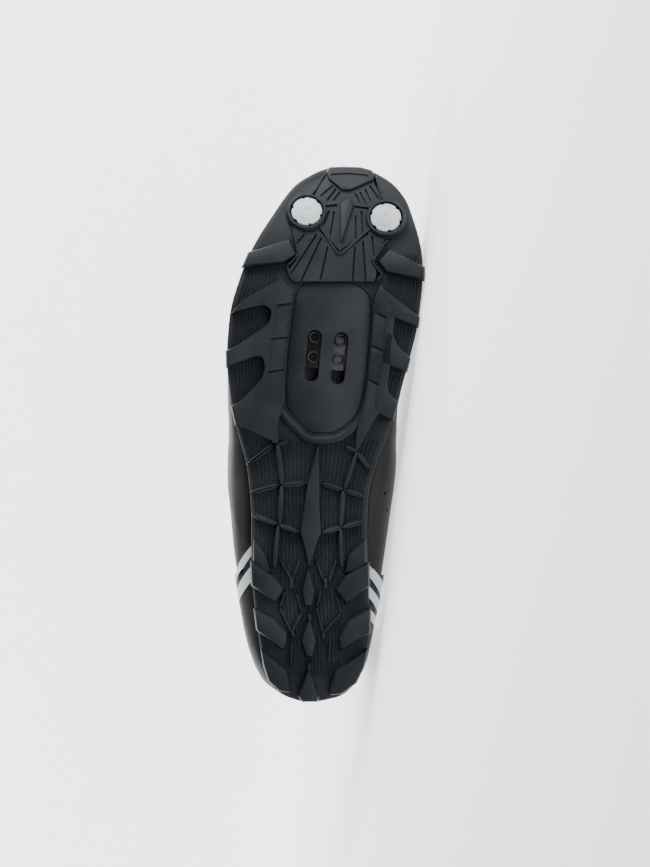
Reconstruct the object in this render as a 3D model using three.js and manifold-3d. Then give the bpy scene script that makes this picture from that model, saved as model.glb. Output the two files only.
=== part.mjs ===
// Right cycling shoe for clipless pedals, in millimetres.
// It is modelled standing, with the toe along +Y, the outer (lateral) side along +X and the ground at Z 0,
// and is then laid on its medial side, with the sole facing -Y and the toe along +X.
import * as THREE from 'three';
import { mergeVertices } from 'three/addons/utils/BufferGeometryUtils.js';
import { ConvexHull } from 'three/addons/math/ConvexHull.js';
import Module from 'manifold-3d';

const wasm = await Module();
wasm.setup();

// Driving dimensions of the sole
const soleLength = 285;
const ballWidth = 99.8;
const waistWidth = 61.4;
const heelWidth = 61.2;
const toeSpring = 22; // lift of the tread at the toe tip
const toeBreak = 0.72; // share of the length where the toe spring starts
const heelBevel = 4.5; // lift of the tread at the back of the heel
const heelBreak = 0.07; // share of the length where the heel bevel ends
const archLift = 4; // lift of the ribs under the arch
const archFloor = 1.4; // lift of the floor between them
const ballSeat = 13.2; // height of the sole's top at the ball
const heelSeat = 24.5; // height of the sole's top at the heel
const foreLug = 5.5; // depth of the forefoot tread
const heelLug = 6;
const toeLug = 4.2;
const panelHeight = 2.6; // the fan of grooves in front of the cleat, above the tread's floor
const treadFloor = 2.6; // thickness of the outsole between its lugs
const lugDraft = 0.9; // how far a lug narrows on each side, from floor to tip
const sideWrap = 0.7; // how far the lugs stand out of the sole's side
const sideGroove = 1.1; // depth of the groove round the midsole
const windowGap = 0.3;
const gap = 0.3; // between pieces that touch

// Driving dimensions of the upper
const wall = 2.2;
const lastingMargin = 11; // the upper's edge, turned in under the foot
const archFlare = 13.7; // how far the upper stands out past the sole at the arch
const swellHeight = 22; // height of the upper's widest line above the sole, at the heel
const ridgeHeight = 118; // height of the last's ridge over the heel
const soleLip = 2.5; // how far the sole stands out past the upper at the toe
const collarHeight = 88; // at the back of the heel
const collarPad = 4.5;
const collarPadDepth = 24;
const throatWidth = 38;
const tongueWidth = 54;
const tongueThickness = 4.2;
const insoleThickness = 4;
const insoleClearance = 0.8;
const overlayThickness = 1.2;
const strapWidth = 21;
const strapThickness = 2;
const strapNose = 6; // how far the rounded lateral end stands out

// Cleat fixing and toe spikes
const cleatPocket = 6.4; // depth of the pocket's floor above the ground
const boltSpacing = 14;
const rowSpacing = 10.5;
const slotWidth = 7.4;
const slotLength = 27.5;
const slotOffset = 4.5; // the nuts sit this far in front of the slots' middle
const cleatTwist = THREE.MathUtils.degToRad(5.4);
const cleatAlong = 0.64; // share of the length
const cleatAcross = 0.093; // share of the ball's width
const nutRadius = 3.2;
const nutBore = 2.1;
const nutDepth = 3;
const nutPlate = { width: 26, length: 22, thickness: 2 };
const spikeRadius = 8.5;
const spikeThickness = 2.4;
const spikeShank = 3.6;
const spikeShankDepth = 3.2;
const spikeNotch = 1;
const spikeNotches = 6;
const spikeRing = 1.6; // wall of the raised ring round each spike cap
const spikeSeats = [
  { name: 'spike_cap_lateral', along: 0.912, across: -0.53 },
  { name: 'spike_cap_medial', along: 0.9, across: 0.615 },
];

// Outline of the sole. Along is a share of the length from the heel; centre is towards the medial side, as a
// share of the ball's width; half is a share of half the width that the row follows.
const outlineRows = [
  { along: 0, centre: 0.007, half: 0.155, width: heelWidth },
  { along: 0.008, centre: 0.02, half: 0.42, width: heelWidth },
  { along: 0.018, centre: 0.02, half: 0.585, width: heelWidth },
  { along: 0.037, centre: 0.02, half: 0.745, width: heelWidth },
  { along: 0.066, centre: 0.026, half: 0.86, width: heelWidth },
  { along: 0.104, centre: 0.028, half: 0.93, width: heelWidth },
  { along: 0.15, centre: 0.023, half: 0.975, width: heelWidth },
  { along: 0.216, centre: 0.01, half: 1, width: heelWidth },
  { along: 0.288, centre: 0.003, half: 0.997, width: waistWidth },
  { along: 0.346, centre: 0.003, half: 1, width: waistWidth },
  { along: 0.392, centre: 0.004, half: 1.03, width: waistWidth },
  { along: 0.442, centre: 0.015, half: 1.125, width: waistWidth },
  { along: 0.479, centre: 0.02, half: 0.755, width: ballWidth },
  { along: 0.501, centre: 0.024, half: 0.8, width: ballWidth },
  { along: 0.545, centre: 0.028, half: 0.866, width: ballWidth },
  { along: 0.584, centre: 0.036, half: 0.914, width: ballWidth },
  { along: 0.634, centre: 0.049, half: 0.966, width: ballWidth },
  { along: 0.69, centre: 0.073, half: 0.998, width: ballWidth },
  { along: 0.734, centre: 0.09, half: 1, width: ballWidth },
  { along: 0.778, centre: 0.115, half: 0.976, width: ballWidth },
  { along: 0.823, centre: 0.139, half: 0.93, width: ballWidth },
  { along: 0.867, centre: 0.16, half: 0.844, width: ballWidth },
  { along: 0.911, centre: 0.181, half: 0.727, width: ballWidth },
  { along: 0.934, centre: 0.19, half: 0.66, width: ballWidth },
  { along: 0.956, centre: 0.192, half: 0.57, width: ballWidth },
  { along: 0.97, centre: 0.193, half: 0.49, width: ballWidth },
  { along: 0.982, centre: 0.194, half: 0.385, width: ballWidth },
  { along: 0.993, centre: 0.195, half: 0.265, width: ballWidth },
  { along: 1, centre: 0.195, half: 0.135, width: ballWidth },
];
// Sections of the upper by rib. Flares are past the sole's edge, as shares of archFlare; swell is the height of
// the widest line, as a share of swellHeight; box is how square the section is; tuck is a share of soleLip.
const upperRows = [
  { along: 0, lateral: 0.02, medial: 0.02, swell: 0.5, box: 3, tuck: 0.7 },
  { along: 0.02, lateral: 0.08, medial: 0.02, swell: 0.5, box: 2.8, tuck: 0.7 },
  { along: 0.05, lateral: 0.26, medial: 0.03, swell: 0.5, box: 2.3, tuck: 0.6 },
  { along: 0.1, lateral: 0.5, medial: 0.06, swell: 0.5, box: 1.95, tuck: 0.5 },
  { along: 0.15, lateral: 0.6, medial: 0.2, swell: 0.5, box: 1.8, tuck: 0.4 },
  { along: 0.22, lateral: 0.65, medial: 0.53, swell: 0.5, box: 1.75, tuck: 0.3 },
  { along: 0.29, lateral: 0.81, medial: 0.8, swell: 0.66, box: 1.75, tuck: 0.2 },
  { along: 0.36, lateral: 0.91, medial: 0.97, swell: 0.9, box: 1.82, tuck: 0.2 },
  { along: 0.4, lateral: 0.9, medial: 1, swell: 1, box: 1.9, tuck: 0.2 },
  { along: 0.45, lateral: 0.73, medial: 0.76, swell: 0.95, box: 1.98, tuck: 0.3 },
  { along: 0.5, lateral: 0.39, medial: 0.37, swell: 0.85, box: 2.05, tuck: 0.4 },
  { along: 0.55, lateral: 0.17, medial: 0.1, swell: 0.66, box: 2.1, tuck: 0.5 },
  { along: 0.63, lateral: -0.02, medial: -0.04, swell: 0.55, box: 2.2, tuck: 0.7 },
  { along: 0.74, lateral: -0.08, medial: -0.1, swell: 0.45, box: 2.3, tuck: 0.8 },
  { along: 0.87, lateral: -0.12, medial: -0.12, swell: 0.4, box: 2.4, tuck: 0.9 },
  { along: 1, lateral: -0.12, medial: -0.12, swell: 0.4, box: 2.4, tuck: 1 },
];
// The last's ridge, as a share of ridgeHeight
const ridgeRows = [
  { along: 0.12, height: 1 },
  { along: 0.24, height: 1 },
  { along: 0.32, height: 0.985 },
  { along: 0.37, height: 0.945 },
  { along: 0.42, height: 0.885 },
  { along: 0.5, height: 0.785 },
  { along: 0.58, height: 0.695 },
  { along: 0.66, height: 0.615 },
  { along: 0.74, height: 0.55 },
  { along: 0.8, height: 0.51 },
  { along: 0.86, height: 0.475 },
];
// The collar's top line, as a share of collarHeight
const collarRows = [
  { along: -0.1, height: 1.005 },
  { along: 0, height: 1 },
  { along: 0.04, height: 0.985 },
  { along: 0.1, height: 0.9 },
  { along: 0.19, height: 0.825 },
  { along: 0.28, height: 0.84 },
  { along: 0.35, height: 0.94 },
  { along: 0.4, height: 1.07 },
  { along: 0.425, height: 1.2 },
];
const ridgeFrom = 0.12; // shares of the length where the ridge and the spine of the ribs start and end
const ridgeTo = 0.86;
const ribsPerSide = 24;

const clamp = THREE.MathUtils.clamp;
const mix = THREE.MathUtils.lerp;
const smooth = THREE.MathUtils.smoothstep;

// A smooth curve through one column of a table, read at a share of the length
function column(rows, key) {
  const value = (row) => (typeof key === 'function' ? key(row) : row[key]);
  const slope = (i) => {
    const a = rows[Math.max(i - 1, 0)];
    const b = rows[Math.min(i + 1, rows.length - 1)];
    return (value(b) - value(a)) / (b.along - a.along);
  };
  return (along) => {
    const s = clamp(along, rows[0].along, rows[rows.length - 1].along);
    const i = clamp(rows.findIndex((row) => row.along > s) - 1, 0, rows.length - 2);
    const k = s >= rows[rows.length - 1].along ? rows.length - 2 : i;
    const step = rows[k + 1].along - rows[k].along;
    const t = (s - rows[k].along) / step;
    const [t2, t3] = [t * t, t * t * t];
    return value(rows[k]) * (2 * t3 - 3 * t2 + 1) + value(rows[k + 1]) * (3 * t2 - 2 * t3)
      + slope(k) * step * (t3 - 2 * t2 + t) + slope(k + 1) * step * (t3 - t2);
  };
}
const centreOf = column(outlineRows, 'centre');
const halfOf = column(outlineRows, (row) => row.half * row.width / 2);
const ridgeOf = column(ridgeRows, 'height');
const collarOf = column(collarRows, 'height');
const lateralFlareOf = column(upperRows, 'lateral');
const medialFlareOf = column(upperRows, 'medial');
const swellOf = column(upperRows, 'swell');
const boxOf = column(upperRows, 'box');
const tuckOf = column(upperRows, 'tuck');

// Heights over the ground, by share of the length: the lugs' tips, the floor between them, the sole's top
const toeRise = (s) => toeSpring * Math.max(0, (s - toeBreak) / (1 - toeBreak)) ** 2;
const endRise = (s) => toeRise(s) + heelBevel * Math.max(0, (heelBreak - s) / heelBreak) ** 2;
const arch = (s) => smooth(s, 0.27, 0.36) * (1 - smooth(s, 0.46, 0.55));
const tread = (s) => endRise(s) + archLift * arch(s);
const floorOf = (s) => endRise(s) + archFloor * arch(s)
  + mix(mix(heelLug, foreLug, smooth(s, 0.27, 0.55)), toeLug, smooth(s, 0.8, 1));
const seat = (s) => endRise(s) + mix(heelSeat, ballSeat, smooth(s, 0.16, 0.64));

// Turns triangles into a solid with its doubles merged and its faces pointing out
function solidFrom(triangles) {
  const raw = new THREE.BufferGeometry();
  raw.setAttribute('position', new THREE.Float32BufferAttribute(triangles.flat(2), 3));
  return solidOf(raw);
}
function solidOf(geometry) {
  const bare = geometry.clone();
  bare.deleteAttribute('normal');
  bare.deleteAttribute('uv');
  const merged = mergeVertices(bare, 1e-4);
  const spots = merged.attributes.position.array;
  const index = merged.index.array;
  const kept = [];
  let volume = 0;
  for (let i = 0; i < index.length; i += 3) {
    const [a, b, c] = [index[i], index[i + 1], index[i + 2]];
    if (a === b || b === c || c === a) continue;
    kept.push(a, b, c);
    const corner = (k) => new THREE.Vector3().fromArray(spots, 3 * k);
    volume += corner(a).dot(corner(b).cross(corner(c)));
  }
  if (volume < 0) kept.reverse();
  return new wasm.Manifold(new wasm.Mesh({
    numProp: 3, vertProperties: new Float32Array(spots), triVerts: new Uint32Array(kept),
  }));
}
function geometryOf(solid) {
  const mesh = solid.getMesh();
  const geometry = new THREE.BufferGeometry();
  geometry.setAttribute('position', new THREE.BufferAttribute(new Float32Array(mesh.vertProperties), 3));
  geometry.setIndex([...mesh.triVerts]);
  geometry.computeVertexNormals();
  return geometry;
}
const spread = (from, to, steps) => Array.from({ length: steps + 1 }, (_, i) => mix(from, to, i / steps));
const union = (solids) => solids.reduce((all, solid) => all.add(solid));
const placed = (geometry, matrix) => solidOf(geometry.clone().applyMatrix4(matrix));

// The ribs: vertical planes that fan round the heel and the toe from a spine under the ridge. Rib 0 is at the
// back of the heel, the lateral ribs follow, and the medial ribs come back from the toe.
const spineAlong = (s) => mix(ridgeFrom, ridgeTo, s);
const alongOfSpine = (s) => (s - ridgeFrom) / (ridgeTo - ridgeFrom);
function ribAt(s, side) {
  const spine = new THREE.Vector2(-centreOf(spineAlong(s)) * ballWidth, spineAlong(s) * soleLength);
  const edge = new THREE.Vector2(-centreOf(s) * ballWidth + side * halfOf(s), s * soleLength);
  const way = edge.clone().sub(spine);
  const reach = way.length();
  return { s, side, spine, way: way.normalize(), reach };
}
const stationOf = (k) => (1 - Math.cos(Math.PI * k / ribsPerSide)) / 2;
// The end ribs run straight back and straight forward, along the middle of the outline
function ribOf(i) {
  const turn = (i + 2 * ribsPerSide) % (2 * ribsPerSide);
  const k = turn <= ribsPerSide ? turn : 2 * ribsPerSide - turn;
  const side = k === 0 || k === ribsPerSide ? 0 : turn < ribsPerSide ? 1 : -1;
  return ribAt(stationOf(k), side);
}
const onRib = (rib, reach, z) => [rib.spine.x + rib.way.x * reach, rib.spine.y + rib.way.y * reach, z];
const alongAt = (rib, reach) => (rib.spine.y + rib.way.y * reach) / soleLength;

// A closed solid from one profile for each rib: pairs of reach and height, from the spine below to the spine above.
// Each patch is split from its inner corner on one rib to its outer corner on the next, so that surfaces on the
// same ribs stay parallel.
function ringSolid(profile) {
  const loops = Array.from({ length: 2 * ribsPerSide }, (_, i) => profile(ribOf(i)).map(([reach, z]) => (
    { reach, point: onRib(ribOf(i), reach, z) })));
  const triangles = [];
  loops.forEach((loop, i) => {
    const next = loops[(i + 1) % loops.length];
    for (let j = 0; j + 1 < loop.length; j++) {
      const [a, b, c, d] = [loop[j], next[j], next[j + 1], loop[j + 1]].map(({ point }) => point);
      if (loop[j + 1].reach >= loop[j].reach) triangles.push([a, b, c], [a, c, d]);
      else triangles.push([a, b, d], [b, c, d]);
    }
  });
  return solidFrom(triangles);
}
// A closed sheet between two grids of points
function sheetSolid(outer, inner) {
  const triangles = [];
  const quad = (a, b, c, d) => triangles.push([a, b, c], [a, c, d]);
  const [m, n] = [outer.length - 1, outer[0].length - 1];
  for (let i = 0; i < m; i++) {
    for (let j = 0; j < n; j++) {
      quad(outer[i][j], outer[i + 1][j], outer[i + 1][j + 1], outer[i][j + 1]);
      quad(inner[i][j], inner[i][j + 1], inner[i + 1][j + 1], inner[i + 1][j]);
    }
    quad(outer[i][0], inner[i][0], inner[i + 1][0], outer[i + 1][0]);
    quad(outer[i][n], outer[i + 1][n], inner[i + 1][n], inner[i][n]);
  }
  for (let j = 0; j < n; j++) {
    quad(outer[0][j], outer[0][j + 1], inner[0][j + 1], inner[0][j]);
    quad(outer[m][j], inner[m][j], inner[m][j + 1], outer[m][j + 1]);
  }
  return solidFrom(triangles);
}

// The upper's edge on the sole, and the edge of what is turned in under the foot
const featherOf = (rib) => rib.reach - tuckOf(rib.s) * soleLip;
const mouthOf = (rib) => featherOf(rib) - lastingMargin;
// The upper's surface on a rib. Turn 0 is the ridge, 1 the widest line and 1.5 the edge on the sole;
// grow moves the surface out, or in when it is negative.
function skin(rib, turn, grow = 0) {
  const feather = featherOf(rib) + grow;
  const flare = rib.side < 0 ? medialFlareOf(rib.s) : lateralFlareOf(rib.s);
  const out = flare * archFlare + tuckOf(rib.s) * soleLip;
  const bottom = seat(alongAt(rib, feather)) + gap + Math.max(0, -grow);
  const middle = bottom + swellOf(rib.s) * swellHeight;
  if (turn > 1) {
    const angle = (1.5 - turn) * Math.PI;
    return [feather + out * Math.sin(angle), bottom + (middle - bottom) * (1 - Math.cos(angle))];
  }
  const top = ridgeOf(rib.spine.y / soleLength) * ridgeHeight + grow;
  if (turn === 0) return [0, top];
  const angle = (1 - turn) * Math.PI / 2;
  const power = 2 / boxOf(rib.s);
  return [(feather + out) * Math.cos(angle) ** power, middle + (top - middle) * Math.sin(angle) ** power];
}
const skinTurns = [1.5, 1.35, 1.17, 1, 0.8, 0.6, 0.4, 0.2, 0];
// The whole form of the upper, grown by a distance, or by less where the distance is a function
const form = (grow) => ringSolid((rib) => [
  [0, seat(alongAt(rib, 0)) + gap], [mouthOf(rib), seat(alongAt(rib, mouthOf(rib))) + gap],
  ...skinTurns.map((turn) => skin(rib, turn, typeof grow === 'function' ? grow(rib, turn) : grow)),
]);
function collarInset(rib, turn) {
  const [reach, z] = skin(rib, turn);
  const s = alongAt(rib, reach);
  const top = collarOf(s) * collarHeight;
  return wall + collarPad * smooth(z, top - collarPadDepth, top - collarPadDepth / 4) * (1 - smooth(s, 0.36, 0.46));
}

function makeUpper() {
  const under = (s) => seat(s) + gap;
  const cavity = ringSolid((rib) => {
    const mouth = mouthOf(rib);
    return [
      ...[0, mouth].map((reach) => [reach, under(alongAt(rib, reach)) - 2]),
      [mouth, under(alongAt(rib, mouth)) + wall],
      ...skinTurns.map((turn) => skin(rib, turn, -collarInset(rib, turn))),
    ];
  });
  return form(0).subtract(cavity).subtract(collarCutter()).subtract(throatCutter());
}
// A side view, in shares of the length and in heights, pulled across the shoe
function sideView(corners, from = -ballWidth, to = ballWidth) {
  const shape = new THREE.Shape(corners.map(([s, z]) => new THREE.Vector2(s * soleLength, z)));
  const geometry = new THREE.ExtrudeGeometry(shape, { depth: to - from, bevelEnabled: false });
  // The shape's x and y become Y and Z, and its depth becomes X
  return placed(geometry, new THREE.Matrix4().set(0, 0, 1, from, 1, 0, 0, 0, 0, 1, 0, 0, 0, 0, 0, 1));
}
// Everything above the collar's top line, as a side view pulled across the shoe
function collarCutter() {
  const [first, last] = [collarRows[0].along, collarRows[collarRows.length - 1].along];
  const line = spread(first, last, 18).map((s) => [s, collarOf(s) * collarHeight]);
  return sideView([...line, [last, 2 * ridgeHeight], [first, 2 * ridgeHeight]]);
}
// The throat, as a plan view pulled up through the top of the instep
const throatFront = 0.69;
const throatBack = 0.39;
const throatRows = [
  { along: throatBack, half: 1.12 },
  { along: 0.5, half: 1 },
  { along: 0.6, half: 0.84 },
  { along: throatFront, half: 0.66 },
];
const throatOf = column(throatRows, (row) => row.half * throatWidth / 2);
// A plan view about the ridge, with a round front, pulled up from the widest line
function planView(from, to, halfOf, roundBack) {
  const ridge = (s) => -centreOf(s) * ballWidth;
  const edge = (s, side) => new THREE.Vector2(ridge(s) + side * halfOf(s), s * soleLength);
  const arc = (s, start) => spread(start, start + Math.PI, 8).slice(1, -1).map((angle) => (
    new THREE.Vector2(
      ridge(s) + halfOf(s) * Math.cos(angle),
      s * soleLength + halfOf(s) * Math.sin(angle) * (start ? roundBack : 1),
    )));
  const shape = new THREE.Shape([
    ...spread(from, to, 8).map((s) => edge(s, 1)), ...arc(to, 0),
    ...spread(to, from, 8).map((s) => edge(s, -1)), ...(roundBack ? arc(from, Math.PI) : []),
  ]);
  const geometry = new THREE.ExtrudeGeometry(shape, { depth: 2 * ridgeHeight, bevelEnabled: false });
  return placed(geometry, new THREE.Matrix4().makeTranslation(0, 0, ballSeat + swellHeight));
}
const throatCutter = () => planView(throatBack, throatFront, throatOf, 0);

// The sole
const sideSteps = [
  // share of the midsole's height, share of sideGroove cut in
  { up: 0, cut: 0.3 },
  { up: 0.3, cut: 0.1 },
  { up: 0.38, cut: 1 },
  { up: 0.55, cut: 1 },
  { up: 0.63, cut: 0 },
  { up: 1, cut: 0.2 },
];
const ringShares = [0, 0.4, 0.8];
function makeMidsole() {
  const under = (s) => floorOf(s) + treadFloor + gap;
  const body = ringSolid((rib) => {
    const edge = alongAt(rib, rib.reach);
    const side = sideSteps.map(({ up, cut }) => [
      rib.reach - cut * sideGroove, mix(under(edge), seat(edge), up),
    ]);
    const rings = ringShares.map((share) => share * rib.reach);
    const low = rings.map((reach) => [reach, under(alongAt(rib, reach))]);
    const mouth = mouthOf(rib);
    const high = [featherOf(rib), mouth, mouth / 2, 0].map((reach) => [reach, seat(alongAt(rib, reach))]);
    return [...low, ...side, ...high];
  });
  // The floor of the cleat pocket fills the outsole's window
  const pocket = prism(windowCorners(-windowGap), () => cleatPocket, (s) => under(s) + 1);
  const slots = [-1, 1].map((side) => slotTool(side));
  const shelf = placed(
    new THREE.BoxGeometry(nutPlate.width + 2 * gap, nutPlate.length + 2 * gap, seatTop),
    cleatFrame(0, slotOffset, nutSeat + seatTop / 2),
  );
  return [...slots, shelf].reduce((body, tool) => body.subtract(tool), body.add(pocket));
}
const seatTop = 20; // more than the midsole's height over the nut plate
const nutSeat = ballSeat - nutPlate.thickness - 2 * gap - 0.6; // floor of the nut plate's recess
// A place in the frame of the cleat: across and along the slots, and up
function cleatFrame(across, along, up) {
  return new THREE.Matrix4().makeTranslation(-cleatAcross * ballWidth, cleatAlong * soleLength, up)
    .multiply(new THREE.Matrix4().makeRotationZ(cleatTwist))
    .multiply(new THREE.Matrix4().makeTranslation(across, along, 0));
}
function slotTool(side) {
  const slot = new THREE.Shape();
  const straight = (slotLength - slotWidth) / 2;
  slot.absarc(0, straight, slotWidth / 2, 0, Math.PI);
  slot.absarc(0, -straight, slotWidth / 2, Math.PI, 2 * Math.PI);
  const geometry = new THREE.ExtrudeGeometry(slot, { depth: seatTop, bevelEnabled: false, curveSegments: 7 });
  return placed(geometry, cleatFrame(side * boltSpacing / 2, 0, cleatPocket - 2));
}
function makeNutPlate() {
  const { width, length, thickness } = nutPlate;
  const plate = placed(
    new THREE.BoxGeometry(width, length, thickness), cleatFrame(0, slotOffset, nutSeat + gap + thickness / 2),
  );
  const tube = (radius, low, high) => [-1, 1].flatMap((side) => [-1, 1].map((row) => placed(
    new THREE.CylinderGeometry(radius, radius, high - low, 12).rotateX(Math.PI / 2),
    cleatFrame(side * boltSpacing / 2, slotOffset + row * rowSpacing / 2, (low + high) / 2),
  )));
  const low = nutSeat + gap - nutDepth;
  const nuts = union([plate, ...tube(nutRadius, low, nutSeat + gap + thickness / 2)]);
  return nuts.subtract(union(tube(nutBore, low - 1, nutSeat + gap + thickness + 1)));
}

// Tread. A place on it is a share of the length, and a share of the half width there, lateral -1 to medial 1.
const frameFrom = 0.104; // near its ends the tread keeps the width it has at these two shares of the length
const frameTo = 0.934;
function spot([s, t]) {
  const held = clamp(s, frameFrom, frameTo);
  return [-centreOf(held) * ballWidth - t * halfOf(held), s * soleLength];
}
// A solid on a plan outline, between two heights that follow the length, narrower at its lower end by the draft
function prism(corners, low, high, draft = 0) {
  const flat = corners.map((corner) => new THREE.Vector2(...spot(corner)));
  if (THREE.ShapeUtils.isClockWise(flat)) flat.reverse();
  const inset = flat.map((point, i) => {
    const before = flat[(i + flat.length - 1) % flat.length];
    const after = flat[(i + 1) % flat.length];
    const a = point.clone().sub(before).normalize();
    const b = after.clone().sub(point).normalize();
    const inward = new THREE.Vector2(-a.y - b.y, a.x + b.x);
    const stretch = Math.max(0.5, 1 + a.dot(b));
    return point.clone().add(inward.multiplyScalar(draft / stretch));
  });
  const down = inset.map((p) => [p.x, p.y, low(p.y / soleLength)]);
  const up = flat.map((p) => [p.x, p.y, high(p.y / soleLength)]);
  const triangles = [];
  for (const [a, b, c] of THREE.ShapeUtils.triangulateShape(flat, [])) {
    triangles.push([up[a], up[b], up[c]], [down[c], down[b], down[a]]);
  }
  flat.forEach((_, i) => {
    const j = (i + 1) % flat.length;
    triangles.push([down[i], down[j], up[j]], [down[i], up[j], up[i]]);
  });
  return solidFrom(triangles);
}
// A long tread bar from rows of place along, and its lateral and medial edges
function ladder(rows, low, high, draft) {
  const side = (z, inset) => rows.map(([s, from, to]) => {
    const [x0, y] = spot([s, from]);
    const [x1] = spot([s, to]);
    const half = Math.max(0.15, (x0 - x1) / 2 - inset);
    const middle = (x0 + x1) / 2;
    return [[middle + half, y, z(s)], [middle - half, y, z(s)]];
  });
  return sheetSolid(side(low, draft), side(high, 0));
}
// A thin rib between two places, run on a little past both so that ribs in a row join
function bar(from, to, width, low, high) {
  const [a, b] = [new THREE.Vector2(...spot(from)), new THREE.Vector2(...spot(to))];
  const away = b.clone().sub(a).normalize();
  a.addScaledVector(away, -width * 0.3);
  b.addScaledVector(away, width * 0.3);
  const across = new THREE.Vector2(-away.y, away.x);
  const corner = (end, side, half, z) => {
    const p = end.clone().add(across.clone().multiplyScalar(side * half));
    return [p.x, p.y, z(p.y / soleLength)];
  };
  const grid = (half, z) => [a, b].map((end) => [1, -1].map((side) => corner(end, side, half, z)));
  return sheetSolid(grid(width / 4, low), grid(width / 2, high));
}

const edgeShare = 1 + 2 * sideWrap / ballWidth;
// Lugs by their corners, front to back on each side
const foreLugs = [
  [[0.859, -0.6], [0.829, -0.47], [0.814, -0.55], [0.806, -edgeShare], [0.834, -edgeShare]],
  [[0.786, -0.55], [0.728, -0.5], [0.7335, -0.64], [0.713, -edgeShare], [0.742, -edgeShare], [0.752, -0.9]],
  [[0.7, -0.5], [0.698, -0.585], [0.656, -0.93], [0.648, -edgeShare], [0.617, -edgeShare], [0.64, -0.61],
    [0.63, -0.5]],
  [[0.612, -0.5], [0.61, -0.61], [0.556, -0.9], [0.545, -edgeShare], [0.511, -edgeShare], [0.541, -0.69],
    [0.56, -0.5]],
  [[0.84, 0.62], [0.8165, 0.49], [0.796, 0.59], [0.781, edgeShare], [0.806, edgeShare]],
  [[0.771, 0.55], [0.719, 0.95], [0.714, edgeShare], [0.694, edgeShare], [0.71, 0.74], [0.72, 0.58]],
  [[0.69, 0.66], [0.682, 0.76], [0.663, 0.84], [0.637, edgeShare], [0.612, edgeShare], [0.6225, 0.81],
    [0.62, 0.68]],
  [[0.606, 0.7], [0.6, 0.835], [0.572, 0.87], [0.555, edgeShare], [0.52, edgeShare], [0.533, 0.79],
    [0.56, 0.7]],
  [[0.992, -0.28], [0.999, -0.18], [0.999, 0.15], [0.986, 0.49], [0.969, 0.39], [0.953, 0.02], [0.974, -0.3]],
  [[0.947, 0.05], [0.926, 0.17], [0.887, 0.06], [0.832, 0.04], [0.926, -0.08]],
];
const heelLugs = [
  [[0.262, -edgeShare], [0.235, -0.61], [0.2115, -0.45], [0.186, -0.63], [0.2175, -edgeShare]],
  [[0.174, -edgeShare], [0.157, -0.675], [0.13, -0.46], [0.112, -0.49], [0.098, -0.57], [0.132, -edgeShare]],
  [[0.096, -0.98], [0.06, -0.49], [0.04, -0.45], [0.018, -0.44], [0.022, -0.64], [0.041, -0.84], [0.068, -0.93]],
  [[0.259, edgeShare], [0.237, 0.615], [0.209, 0.43], [0.1835, 0.6], [0.2175, edgeShare]],
  [[0.176, edgeShare], [0.154, 0.63], [0.122, 0.45], [0.098, 0.48], [0.127, edgeShare]],
  [[0.098, 0.99], [0.06, 0.4], [0.03, 0.294], [0.014, 0.3], [0.016, 0.5], [0.037, 0.78], [0.066, 0.92]],
  [[0.252, -0.02], [0.21, -0.155], [0.18, -0.13], [0.18, 0.015], [0.21, 0.08]],
  [[0.159, -0.055], [0.115, -0.235], [0.086, -0.15], [0.086, -0.02], [0.115, 0.055]],
  [[0.066, -0.09], [0.011, -0.29], [0.001, -0.22], [0.001, 0.06], [0.012, 0.1]],
];
const heelRamps = [
  [[0.305, -0.99], [0.276, -0.71], [0.236, -0.6], [0.25, -0.99]],
  [[0.302, 0.97], [0.273, 0.645], [0.237, 0.6], [0.25, 0.98]],
];
const rails = [
  [[0.786, -0.57, -0.53], [0.754, -0.6, -0.352], [0.72, -0.59, -0.335], [0.68, -0.585, -0.34],
    [0.625, -0.585, -0.335], [0.59, -0.6, -0.345], [0.55, -0.64, -0.36], [0.515, -0.61, -0.44],
    [0.478, -0.55, -0.5]],
  [[0.771, 0.54, 0.56], [0.748, 0.475, 0.62], [0.71, 0.5, 0.74], [0.67, 0.52, 0.75], [0.615, 0.56, 0.8],
    [0.57, 0.578, 0.84], [0.545, 0.57, 0.82], [0.53, 0.6, 0.78]],
];
const spineBar = [
  [0.474, 0.06, 0.11], [0.44, 0, 0.135], [0.403, -0.06, 0.165], [0.36, -0.11, 0.19], [0.315, -0.145, 0.205],
  [0.298, -0.11, 0.13], [0.264, -0.03, 0.01],
];
// Ribs of the arch: from, to, width
const archRibs = [
  [[0.439, -0.98], [0.4745, -0.48], 4.2],
  [[0.4745, -0.48], [0.484, -0.33], 3],
  [[0.4745, 0.46], [0.4647, 0.655], 3],
  [[0.4647, 0.655], [0.43, 0.92], 4.2],
  [[0.391, -0.99], [0.401, -0.5], 3.6],
  [[0.401, -0.5], [0.404, -0.04], 3.6],
  [[0.402, 0.14], [0.392, 0.57], 3.6],
  [[0.392, 0.57], [0.381, 0.96], 3.6],
  [[0.347, -0.99], [0.329, -0.5], 3.6],
  [[0.329, -0.5], [0.3145, -0.12], 3.6],
  [[0.3145, 0.18], [0.323, 0.555], 3.6],
  [[0.323, 0.555], [0.332, 0.95], 3.6],
  [[0.475, -0.48], [0.401, -0.5], 4.4],
  [[0.401, -0.5], [0.329, -0.5], 4.4],
  [[0.329, -0.52], [0.255, -0.6], 3],
  [[0.535, 0.62], [0.465, 0.64], 5.5],
  [[0.465, 0.645], [0.392, 0.575], 3.6],
  [[0.392, 0.57], [0.323, 0.555], 4.4],
  [[0.323, 0.53], [0.255, 0.55], 3],
];
// The fan in front of the cleat, as rows of place along, and its lateral and medial edges
const fanRows = [
  [0.985, -0.3, 0.46], [0.962, -0.44, 0.52], [0.94, -0.52, 0.66], [0.912, -0.66, 0.8], [0.885, -0.66, 0.72],
  [0.86, -0.57, 0.6], [0.838, -0.5, 0.555], [0.8165, -0.48, 0.43], [0.8, -0.5, 0.47], [0.785, -0.46, 0.5],
  [0.7665, -0.38, 0.46],
];
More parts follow.
